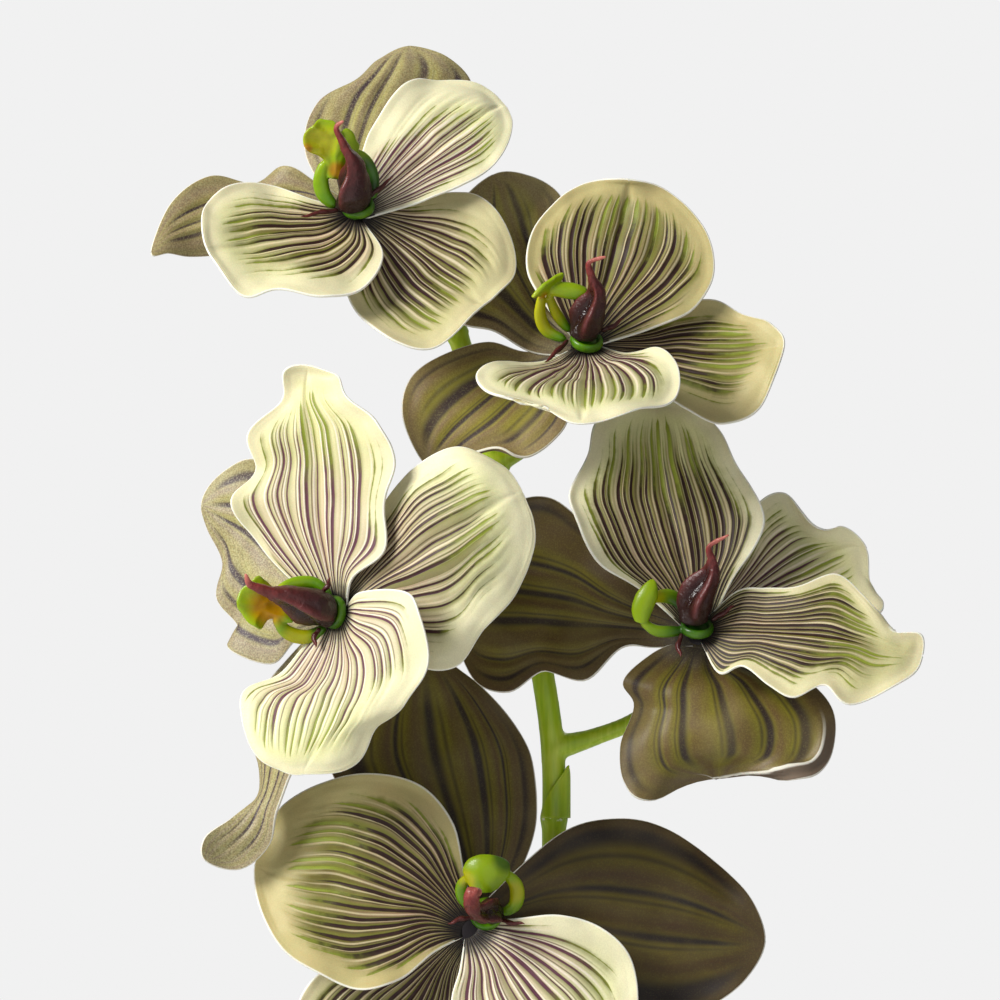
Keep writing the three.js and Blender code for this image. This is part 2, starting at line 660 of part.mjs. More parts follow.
// A surface from rows of [left, rib, right]. v runs from -1 at the left edge to 1 at the right edge.
function surfaceOf(rows) {
  const tip = rows[rows.length - 1][0];
  const body = rows.slice(0, -1);
  const [left, middle, right] = [0, 1, 2].map((k) => body.map((row) => row[k]));
  const beyondLeft = right[right.length - 1];
  const beyondRight = left[left.length - 1];
  return {
    rows: body.length,
    at(u, v) {
      return new THREE.Vector3()
        .addScaledVector(along([...left, tip], u, beyondLeft), v * (v - 1) / 2)
        .addScaledVector(along([...middle, tip], u), 1 - v * v)
        .addScaledVector(along([...right, tip], u, beyondRight), v * (v + 1) / 2);
    },
  };
}

function bladeSurface({ layer, rows }, facing) {
  const points = rows.map((row) => row.map(world));
  return surfaceOf([rootRow(layer, points[0][1], facing), ...points]);
}

function frontNormal(surface, u, v) {
  const STEP = 0.02;
  const inner = Math.min(Math.max(u, STEP), 1 - 2 * STEP);
  const across = surface.at(inner, v + STEP).sub(surface.at(inner, v - STEP));
  const outward = surface.at(inner + STEP, v).sub(surface.at(inner - STEP, v));
  return across.cross(outward).normalize();
}

// One closed blade: a front and a back face with the same triangles, and a rim between them.
function bladeGeometry(surface, thickness, steps = surface.rows + BLADE_EXTRA_STEPS, cells = BLADE_CELLS) {
  const front = [];
  const back = [];
  const index = (i, j) => (i === steps ? steps * (cells + 1) : i * (cells + 1) + j);
  for (let i = 0; i < steps; i++) {
    for (let j = 0; j <= cells; j++) {
      const u = i / steps;
      const v = 2 * j / cells - 1;
      const normal = frontNormal(surface, u, v);
      front.push(surface.at(u, v).addScaledVector(normal, thickness / 2));
      back.push(surface.at(u, v).addScaledVector(normal, -thickness / 2));
    }
  }
  const tipNormal = frontNormal(surface, 1, 0);
  front.push(surface.at(1, 0).addScaledVector(tipNormal, thickness / 2));
  back.push(surface.at(1, 0).addScaledVector(tipNormal, -thickness / 2));
  const count = front.length;
  const faces = [];
  const rim = (a, b) => faces.push([a, b, b + count], [a, b + count, a + count]);
  for (let i = 0; i < steps; i++) {
    for (let j = 0; j < cells; j++) {
      const [a, b, c, d] = [index(i, j), index(i, j + 1), index(i + 1, j), index(i + 1, j + 1)];
      faces.push([a, b, c], [a + count, c + count, b + count]);
      if (c !== d) {
        faces.push([b, d, c], [b + count, c + count, d + count]);
      }
    }
    rim(index(i, 0), index(i + 1, 0));
    rim(index(i + 1, cells), index(i, cells));
  }
  for (let j = 0; j < cells; j++) {
    rim(index(0, j + 1), index(0, j));
  }
  return geometryOf([...front, ...back], faces);
}

// A flattened ball where the blades of a whorl meet.
function heartGeometry(facing, layer) {
  const outward = world(facing).normalize();
  const ball = new THREE.SphereGeometry(HEART_RADIUS, 12, 8);
  ball.rotateX(Math.PI / 2);
  ball.scale(1, 1, HEART_HALF_THICKNESS / HEART_RADIUS);
  ball.applyQuaternion(new THREE.Quaternion().setFromUnitVectors(new THREE.Vector3(0, 0, 1), outward));
  ball.translate(...outward.clone().multiplyScalar(layer).toArray());
  return ball;
}

function whorl(blades, facing, heartLayer, thickness) {
  const shapes = blades.map((one) => bladeGeometry(bladeSurface(one, facing), thickness));
  return joined([...shapes, heartGeometry(facing, heartLayer)]);
}

// Column and lip

// The column's half-widths at the six points of its line, from the foot to the hook's end.
const COLUMN_RADII = [3.5, 4.9, 2.5, 1.45, 1, 0.4];
const COLUMN_ROOM = 0.4;
const HOOD_DEPTH = 0.55;
const HOOD_HALF_ANGLE = 0.62;
const RING_RADIUS = 4.3;
const RING_TUBE = 1.1;
const ARM_HALF_THICKNESS = 0.75;
const CAP_THICKNESS = 1.2;

function profile(values, u) {
  const line = values.map((value) => new THREE.Vector3(value, 0, 0));
  return along(line, u).x;
}

// The hooded body, hollowed on the side that faces the lip's cap. Grown, it is the plain room it needs.
function columnGeometry(bloom, grow = 0) {
  const line = bloom.column.map(world);
  const towardsCap = world(bloom.cap[1][1]).sub(line[1]);
  const STEPS = 11;
  const SIDES = 9;
  const rings = [];
  for (let i = 0; i <= STEPS; i++) {
    const u = i / STEPS;
    const here = along(line, u);
    const heading = headingAt(line, u);
    const open = towardsCap.clone().addScaledVector(heading, -towardsCap.dot(heading)).normalize();
    const side = heading.clone().cross(open);
    const radius = Math.max(profile(COLUMN_RADII, u), 0.3) + grow;
    const hood = grow ? 0 : HOOD_DEPTH * Math.sin(Math.PI * Math.min(1, 2 * u));
    const ring = [];
    for (let j = 0; j < SIDES; j++) {
      const angle = 2 * Math.PI * j / SIDES;
      const away = Math.min(angle, 2 * Math.PI - angle);
      const reach = radius * (1 - hood * Math.exp(-((away / HOOD_HALF_ANGLE) ** 2)));
      ring.push(here.clone()
        .addScaledVector(open, reach * Math.cos(angle))
        .addScaledVector(side, reach * Math.sin(angle)));
    }
    rings.push(ring);
  }
  return skinned(rings);
}

function tendrilGeometry(points, grow = 0) {
  return tube(points.map(world), (u) => [0.75 - 0.4 * u + grow, 0.6 - 0.25 * u + grow], 3, 5);
}

function ringGeometry(bloom) {
  const outward = world(bloom.column[1]).sub(world(bloom.column[0])).normalize();
  const ring = new THREE.TorusGeometry(RING_RADIUS, RING_TUBE, 5, 12);
  ring.applyQuaternion(new THREE.Quaternion().setFromUnitVectors(new THREE.Vector3(0, 0, 1), outward));
  ring.translate(...world(bloom.ring).toArray());
  return ring;
}

// A flat arm with its broad side towards the front.
function armGeometry({ half, line }) {
  const points = line.map(world);
  const broad = points[points.length - 1].clone().sub(points[0]).cross(new THREE.Vector3(0, 1, 0));
  const width = (u) => half * (0.55 + 0.45 * Math.sin(Math.PI * u));
  return tube(points, (u) => [width(u), ARM_HALF_THICKNESS], 6, 5, broad);
}

function capGeometry(rows) {
  return bladeGeometry(surfaceOf(rows.map((row) => row.map(world))), CAP_THICKNESS, 5, 4);
}

// Materials

const MATERIALS = {
  petal: new THREE.MeshStandardMaterial({ color: 0xd8d4a4, roughness: 0.7, metalness: 0 }),
  sepal: new THREE.MeshStandardMaterial({ color: 0x6b6234, roughness: 0.75, metalness: 0 }),
  column: new THREE.MeshStandardMaterial({ color: 0x4a2226, roughness: 0.45, metalness: 0 }),
  lip: new THREE.MeshStandardMaterial({ color: 0x7f9a16, roughness: 0.5, metalness: 0 }),
  stem: new THREE.MeshStandardMaterial({ color: 0x7a9c2a, roughness: 0.5, metalness: 0 }),
  vase: new THREE.MeshStandardMaterial({ color: 0xe9e6df, roughness: 0.2, metalness: 0 }),
  water: new THREE.MeshStandardMaterial({ color: 0xc9dcdf, roughness: 0.05, metalness: 0 }),
};

// Blooms

// The four pieces of a bloom. The sepals and the column keep clear of the petals, and the lip of all three.
function bloomGroup(bloom) {
  const { facing, petals, sepals } = bloom;
  const spare = 2 * CLEARANCE;
  const pale = whorl(petals, facing, DORSAL_LAYER / 2, BLADE_THICKNESS);
  const paleRoom = whorl(petals, facing, DORSAL_LAYER / 2, BLADE_THICKNESS + spare);
  const dark = whorl(sepals, facing, SEPAL_LAYER, BLADE_THICKNESS).subtract(paleRoom);
  const tendrils = bloom.tendrils.map((line) => tendrilGeometry(line));
  const column = joined([columnGeometry(bloom), ...tendrils]).subtract(paleRoom);
  const columnRoom = solid(columnGeometry(bloom, COLUMN_ROOM));
  const tendrilRoom = joined(bloom.tendrils.map((line) => tendrilGeometry(line, COLUMN_ROOM)));
  const lip = joined([ringGeometry(bloom), ...bloom.arms.map(armGeometry), capGeometry(bloom.cap)])
    .subtract(paleRoom)
    .subtract(columnRoom)
    .subtract(tendrilRoom);
  const group = new THREE.Group();
  group.add(
    meshOf(`${bloom.name}_petals`, largest(pale), MATERIALS.petal),
    meshOf(`${bloom.name}_sepals`, largest(dark), MATERIALS.sepal),
    meshOf(`${bloom.name}_column`, largest(column), MATERIALS.column),
    meshOf(`${bloom.name}_lip`, largest(lip), MATERIALS.lip),
  );
  group.position.copy(heartPoint(bloom.heart));
  return group;
}

// Stem with its stalks

function stemShape() {
  const line = STEM_LINE.map((p) => new THREE.Vector3(...p));
  const bump = (distance) => Math.exp(-((distance / JOINT_REACH) ** 2));
  const swelling = (u) => JOINT_HEIGHT * JOINTS.reduce((sum, at) => sum + bump(u - at), 0);
  const radius = (u) => STEM_RADIUS * (STEM_FOOT_SCALE - STEM_TAPER * u) + swelling(u);
  const shapes = [tube(line, (u) => [radius(u), radius(u)], 46, 8)];
  for (const { bloom, from, via } of STALKS) {
    const { heart, facing } = BLOOMS.find((b) => b.name === bloom);
    const outward = world(facing).normalize();
    const end = heartPoint(heart).addScaledVector(outward, STALK_LAYER);
    const before = end.clone().addScaledVector(outward, -STALK_STRAIGHT_END);
    const points = [...[from, ...via].map((p) => new THREE.Vector3(...p)), before, end];
    const flare = (distance, height) => height * Math.exp(-((distance / 0.12) ** 2));
    const stalk = (u) => STALK_RADIUS + flare(u, 0.7) + flare(1 - u, 0.4);
    shapes.push(tube(points, (u) => [stalk(u), stalk(u)], 8, 6));
  }
  return joined(shapes);
}

// Vase and water

// [radius, height] up the outside of the vase, from the middle of its foot to the top of its lip.
const VASE_OUTSIDE = [
  [0, 0], [27, 0], [29, 1], [32, 8], [38, 22], [43, 42], [44.5, 62], [42, 84], [35, 106], [26, 124],
  [18, 140], [13.6, 156], [12.4, 172], [12.8, 188], [14.6, 197], [15, 199.2], [14.4, VASE_HEIGHT],
];
const VASE_MOUTH = [[12.2, VASE_HEIGHT], [11.4, VASE_HEIGHT - 1]];
const FLOOR_RADIUS = 26;
const SIDES_ROUND = 20;

// [radius, height] up the inside wall, which leaves out the foot and the lip.
function vaseInside() {
  return VASE_OUTSIDE.slice(3, -3).map(([radius, height]) => [radius - VASE_WALL, height]);
}

function turned(line) {
  const points = line.map(([radius, height]) => new THREE.Vector2(radius, height));
  return solid(new THREE.LatheGeometry(points, SIDES_ROUND).rotateX(Math.PI / 2));
}

function vaseShape() {
  const floor = [[FLOOR_RADIUS, VASE_FLOOR], [0, VASE_FLOOR]];
  return turned([...VASE_OUTSIDE, ...VASE_MOUTH, ...vaseInside().reverse(), ...floor]);
}

function waterShape(stemRoom) {
  const floor = VASE_FLOOR + CLEARANCE;
  const wall = vaseInside()
    .filter(([, height]) => height > floor && height <= WATER_LEVEL)
    .map(([radius, height]) => [radius - 2 * CLEARANCE, height]);
  const foot = [[0, floor], [FLOOR_RADIUS - 2 * CLEARANCE, floor]];
  return turned([...foot, ...wall, [0, WATER_LEVEL]]).subtract(stemRoom);
}

// The plain hole that the stem stands in. It starts below the water, so it goes right through.
function stemHole() {
  const holeRadius = STEM_RADIUS * STEM_FOOT_SCALE + 2 * CLEARANCE;
  const points = STEM_LINE.slice(0, STEM_POINTS_IN_VASE).map((p) => new THREE.Vector3(...p));
  points[0].z -= HOLE_OVERSHOOT;
  return solid(tube(points, () => [holeRadius, holeRadius], 16, 10));
}

const root = new THREE.Group();
root.add(
  meshOf('vase', vaseShape(), MATERIALS.vase),
  meshOf('water', waterShape(stemHole()), MATERIALS.water),
  meshOf('stem', stemShape(), MATERIALS.stem),
  ...BLOOMS.map(bloomGroup),
);

export default root;
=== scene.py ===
"""A cut vanda orchid stem in a plain vase, dressed for rendering.

The numbers of the part's source are repeated here, in millimetres, and its solids are replaced by finer
ones of the same form: thin striped blades whose pale rim is partly a painted highlight, glossy columns, waxy
lips, a stem whose stalks grow out of it, and a glazed vase with water. Every mesh is made in code from named
numbers.
"""
import math

import bmesh
import bpy
import numpy as np
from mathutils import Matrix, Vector, noise

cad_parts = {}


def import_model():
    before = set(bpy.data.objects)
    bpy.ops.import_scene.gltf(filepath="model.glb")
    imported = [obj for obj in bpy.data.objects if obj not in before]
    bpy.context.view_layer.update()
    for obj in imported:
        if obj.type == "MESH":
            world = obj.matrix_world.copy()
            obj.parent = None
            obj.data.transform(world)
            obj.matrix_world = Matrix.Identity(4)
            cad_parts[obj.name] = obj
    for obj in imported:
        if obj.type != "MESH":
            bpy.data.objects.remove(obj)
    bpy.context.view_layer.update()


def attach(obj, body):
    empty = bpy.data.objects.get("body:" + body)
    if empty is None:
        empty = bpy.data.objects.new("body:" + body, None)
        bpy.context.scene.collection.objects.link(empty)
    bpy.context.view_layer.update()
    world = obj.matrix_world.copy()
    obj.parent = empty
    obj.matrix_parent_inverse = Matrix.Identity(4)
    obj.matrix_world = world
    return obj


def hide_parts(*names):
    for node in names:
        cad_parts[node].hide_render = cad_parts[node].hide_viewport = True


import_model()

MM = 0.001

# Driving dimensions, the same as in the part's source

BLADE_THICKNESS = 0.8
STEM_RADIUS = 3.0
STEM_FOOT_SCALE = 1.12
STEM_TAPER = 0.24
STALK_RADIUS = 2.1
STALK_STRAIGHT_END = 5
ROOT_REACH = 1.4
ROOT_HALF_WIDTH = 2.7
HEART_RADIUS = 3.5
HEART_HALF_THICKNESS = 0.9
PETAL_LAYER = 0
DORSAL_LAYER = -0.5
SEPAL_LAYER = -2.5
STALK_LAYER = -3.7
VASE_HEIGHT = 200
VASE_WALL = 3.5
VASE_FLOOR = 6
WATER_LEVEL = 124
CLEARANCE = 0.3

# Camera: it looks straight along +Y at the blooms, from far off, so that they are seen nearly flat on.

VIEW_CENTRE = (-12.74, 507.5)
VIEW_WIDTH = 245
VIEW_DISTANCE = 3000
BLOOM_PLANE = -30
SENSOR_WIDTH = 36

# Sepals all have a narrow plain border and straighter stripes than the petals.

SEPAL_SPREAD = 0.1
SEPAL_BARE = [3, 3, 3]
SEPAL_SWAY = 0.35


def petal(layer, stripes, olive, shade, spread, bare, rows):
    """A pale blade. Its tone is how olive the ground between its stripes is."""
    return {
        "layer": layer, "stripes": stripes, "tone": olive, "shade": shade, "spread": spread, "bare": bare,
        "sway": 1, "turned": 0, "rows": rows,
    }


def sepal(stripes, pale, shade, rows, turned=0):
    """A dark blade. Its tone is how pale it is, partly its powdery coat and partly painted sheen where it is
    seen edge-on, and turned is 1 where its margin folds over.
    """
    return {
        "layer": SEPAL_LAYER, "stripes": stripes, "tone": pale, "shade": shade, "spread": SEPAL_SPREAD,
        "bare": SEPAL_BARE, "sway": SEPAL_SWAY, "turned": turned, "rows": rows,
    }


# Blooms
#
# heart is [right, forward, up] in the world. facing is [right, up, forward], and so are all other points,
# from the bloom's heart. Each row of a blade, cap or flap is its left edge, rib and right edge, and the last
# row is its tip. stripes is how many dark lines a blade has, shade is how far it is darkened,
# partly by its own tan or dark tint and partly by painted shade where it lies in shadow or turns from the
# light, spread is how far its stripes keep apart towards the tip, and bare is how wide its plain border is at
# the left, tip and right.
# column is the line up the middle of the column, opening is the side its hood is hollow on, and radii are its
# radii along that line. ring is the middle of the green ring, and each arm has a line and half its width.
# cap and flaps are the plates of the lip, and crumple is how creased they are. patches are the lip's patches
# of colour, as (colour, centre, radius). stalk is the line from the stem, as [right, back, up] in the world.

BLOOMS = {}
BLOOMS["bloom_1"] = {
    "heart": [-48, 22, 578],
    "facing": [-0.1, 0.5, 0.86],
    "petals": [
        petal(PETAL_LAYER, stripes=19, olive=0.15, shade=0, spread=0.3, bare=[9, 5, 2.5], rows=[
            [[1.5, 15, -7], [11, 8.5, -3], [12, 1.5, 0]],
            [[4.5, 22.5, -11], [18, 14.5, -6], [20, 4, 0]],
            [[12, 31.5, -15], [25, 20, -9], [28.5, 8, -2]],
            [[21, 33, -18], [31, 24.5, -12], [34.5, 13, -6]],
            [[31, 31.8, -18], [35, 27, -15], [37.8, 20, -11]],
            [[36.8, 27, -16]],
        ]),
        petal(PETAL_LAYER, stripes=17, olive=1, shade=0.25, spread=0.25, bare=[6, 4, 4.5], rows=[
            [[6.5, -10.5, 10], [-6, -4.5, 4], [-12, 3.5, -1]],
            [[1.5, -18, 16], [-13, -6.5, 6], [-20, 7, -2]],
            [[-8, -20.8, 18], [-20, -7.5, 8], [-27, 7.6, -1]],
            [[-19, -19.5, 16], [-27, -8.5, 9], [-33.5, 5.5, 2]],
            [[-28, -20.3, 16], [-33, -9, 11], [-37.5, 0, 6]],
            [[-36.6, -9, 12]],
        ]),
        petal(DORSAL_LAYER, stripes=20, olive=0.8, shade=0.7, spread=0.15, bare=[7, 5, 3.5], rows=[
            [[14, 2.8, -4], [10, -6.5, 0], [-1, -13, 3]],
            [[24, 5, -7], [16, -11, 2], [-2.3, -19.5, 6]],
            [[32, 2, -6], [21.5, -15.5, 4], [2, -26.5, 10]],
            [[38, -7, -2], [26.5, -19, 6], [10, -32.3, 14]],
            [[38.5, -15.5, 2], [29.5, -21.5, 8], [20, -33, 14]],
            [[31.5, -22.5, 9]],
        ]),
    ],
    "sepals": [
        sepal(stripes=5, pale=0.45, shade=0, rows=[
            [[-11, 11, -9], [0, 12, -8], [11, 10, -9]],
            [[-12.8, 19, -14], [2, 21, -14], [19, 19, -16]],
            [[-9.5, 28, -20], [5.5, 29, -20], [25.5, 27.5, -22]],
            [[-1, 32.5, -23], [9, 35.5, -22], [28, 33.5, -26]],
            [[5, 38.5, -27], [11, 40, -26], [21.5, 39.5, -28]],
            [[12.5, 42.4, -28]],
        ]),
        sepal(stripes=5, pale=0.35, shade=0.1, rows=[
            [[-12, -3, -6], [-12, 3, -5], [-10, 7.5, -6]],
            [[-24, -7, -9], [-22, 2, -7], [-17, 11.3, -8]],
            [[-34, -9.7, -10], [-31, 0.5, -8], [-25.5, 8, -12]],
            [[-41, -10.2, -9], [-39, -2, -8], [-36, 9.2, -11]],
            [[-46.5, -9.5, -6], [-46, -5, -6], [-45.5, 2.5, -8]],
            [[-50.5, -9.5, -5]],
        ]),
    ],
    "column": [
        [-0.8, 1.6, 2.6], [-1.2, 6, 6], [-0.6, 11, 9],
        [-2.6, 16, 12], [-4.7, 20.3, 14], [-3, 22.2, 15],
    ],
    "opening": [-1, 0.3, 0.25],
    "radii": [4, 5.2, 3, 1.15, 0.7, 0.3],
    "crumple": 0.7,
    "ring": [0.4, 1.4, 2.2],
    "cap": [
        [[-7.2, 8.6, 3.6], [-5.4, 8.4, 3], [-3.4, 8.6, 3.4]],
        [[-8, 12.8, 4.8], [-5.6, 12.6, 4], [-3, 13, 4.6]],
        [[-13.4, 16.4, 7.4], [-8, 17, 5], [-3, 18, 6.4]],
        [[-10.4, 21.9, 8], [-7.6, 20.6, 6.6], [-4.6, 21.6, 7.6]],
        [[-7.6, 22.5, 8]],
    ],
    "flaps": [[
        [[-5.4, 8.6, 2.6], [-3.4, 8.4, 2.6], [-0.8, 9.6, 2]],
        [[-6, 13, 3.8], [-3, 13, 4], [0.4, 14, 3]],
        [[-5.4, 17, 5], [-2.8, 17.4, 5.4], [0.2, 17.6, 4.4]],
        [[-2.4, 20.8, 6]],
    ]],
    "arms": [
        {"half": 1.6, "line": [[-5.2, 1.4, 2.2], [-8, 4.6, 2.8], [-8.7, 8.4, 3.4], [-7.6, 12.6, 4.2]]},
        {"half": 1.5, "line": [[4.2, 3.6, 0.8], [3.8, 9, 0.2], [1, 13.6, 1], [-4.4, 15, 4.6]]},
    ],
    "tendrils": [
        [[-4.6, 0.6, 3.4], [-8.4, 0, 5], [-13.6, -0.9, 7.4]],
        [[3.4, 4, 4], [5.6, 6, 3.4], [9, 8.6, 2]],
    ],
    "patches": [
        ("orange", [-4.8, 10.6, 4], 3), ("yellow", [-9, 17, 6.6], 6), ("orange", [-12, 15.4, 7.6], 2),
        ("dark", [3.5, 9, 1], 6),
    ],
    "stalk": [[-23, 1, 548], [-29.5, -0.5, 560], [-38.5, -7, 571]],
}
BLOOMS["bloom_2"] = {
    "heart": [8.1, 26, 545.5],
    "facing": [-0.1, 0.6, 0.79],
    "petals": [
        petal(PETAL_LAYER, stripes=21, olive=1.05, shade=1.2, spread=0.45, bare=[3, 5, 3.5], rows=[
            [[-9, 9, -1], [3.5, 11, -3], [16, 4, -1]],
            [[-14, 18, -4], [6.5, 20, -7], [26, 8.5, -3]],
            [[-13, 27.5, -8], [9, 28, -10], [31.5, 17, -7]],
            [[-8, 34.5, -11], [10.5, 35, -12], [30, 27.5, -10]],
            [[0, 39.8, -13], [11, 39.2, -12.5], [22, 37, -12]],
            [[11, 41.2, -12]],
        ]),
        petal(DORSAL_LAYER, stripes=17, olive=1.6, shade=1.1, spread=0.1, bare=[3.5, 3, 5], rows=[
            [[15, 4.8, -6], [14, -1, -3], [12, -6, -1]],
            [[24, 9.5, -9], [22, -1.5, -4], [18.5, -11, 0]],
            [[32, 11.3, -9], [30, -2, -3], [25, -15.8, 2]],
            [[40, 7.7, -6], [38, -1.5, -1], [33.5, -19.7, 3]],
            [[45.8, 4.7, -2], [44.5, -0.6, 0], [43, -15.5, 4]],
            [[48.8, -0.5, 1]],
        ]),
        petal(PETAL_LAYER, stripes=23, olive=0.5, shade=0.1, spread=0.5, bare=[3.5, 6, 3.5], rows=[
            [[10, -2.3, 5], [0.5, -4.8, 8], [-10, -4.2, 5]],
            [[18, -2, 12], [0, -7.4, 17], [-20, -5, 12]],
            [[22.5, -6, 20], [-0.5, -10.6, 25], [-26.5, -8.6, 20]],
            [[21.5, -12.6, 28], [-1, -14.2, 31], [-22, -12.8, 27]],
            [[12, -16.6, 33], [-1, -17.4, 34.5], [-11, -15.4, 32]],
            [[-1.5, -19.4, 35.5]],
        ]),
    ],
    "sepals": [
        sepal(stripes=5, pale=0.14, shade=0, rows=[
            [[-13, -1.6, -5], [-9, 6, -8], [-4, 11, -9]],
            [[-22, 3.5, -7], [-14.5, 14, -12], [-5, 20, -14]],
            [[-31, 6, -9], [-19, 23, -16], [-5, 29, -18]],
            [[-36, 18, -13], [-22, 31, -19], [-6, 37, -21]],
            [[-33, 32, -17], [-22.5, 38, -21], [-13, 41.8, -22]],
            [[-22.5, 42.4, -22]],
        ]),
        sepal(stripes=6, pale=0.05, shade=0.15, rows=[
            [[-3, -12.5, -1], [-10.5, -6.6, -4], [-14, -1.8, -6]],
            [[-5.5, -20.5, 2], [-17.5, -11.6, -4], [-24, 0.8, -8]],
            [[-13.5, -26.6, 4], [-24, -17, -2], [-35, -2.5, -7]],
            [[-21.5, -24.8, 3], [-30.5, -22.2, -1], [-43, -8.5, -5]],
            [[-29.5, -27, 2], [-35, -26.6, 0], [-44.4, -18.5, -2]],
            [[-38, -30, 0]],
        ]),
    ],
    "column": [
        [-0.4, 2, 3.4], [0.4, 6.6, 6.6], [2.6, 12, 9.6],
        [1.6, 16.4, 12], [1, 20, 13.4], [5, 21.4, 14.6],
    ],
    "opening": [-1, 0.2, 0.8],
    "crumple": 0.3,
    "ring": [0.4, 1, 2.6],
    "cap": [
        [[-13.1, 11.6, 9.4], [-12.7, 11.5, 9.2], [-12.3, 11.5, 9]],
        [[-10.2, 14.5, 9.2], [-9.8, 13.6, 7.6], [-9.4, 12.6, 6.2]],
        [[-7.5, 16.9, 8], [-7.3, 15.6, 6.4], [-7, 14, 5]],
        [[-5.2, 17.6, 7]],
    ],
    "arms": [
        {"half": 1.3, "line": [[-4.6, 1.2, 2.6], [-9.2, 3.4, 3.4], [-11, 7.3, 5], [-10.6, 12.4, 7.2]]},
        {"half": 1.1, "line": [[-3.6, 3.4, 1.6], [-5.6, 5.6, 2.6], [-7.6, 8.8, 4.4], [-9, 12.4, 6.4]]},
        {"half": 1.7, "line": [[-9, 13.4, 6.8], [-5.4, 13.4, 6.4], [-2.2, 13, 6], [0.6, 12.6, 5.4]]},
    ],
    "tendrils": [
        [[-4.4, 1, 4], [-6.6, -1.4, 6.2], [-10, -4.2, 9.6]],
        [[4, 3.4, 4.4], [6.6, 4.6, 4], [9.6, 6.4, 3.4]],
    ],
    "patches": [
        ("yellow", [-11, 8, 5], 8), ("orange", [-10.5, 12.4, 7.4], 1.6),
    ],
    "stalk": [[-13.8, 1, 517], [-6, 0, 521], [2.5, -8, 530]],
}
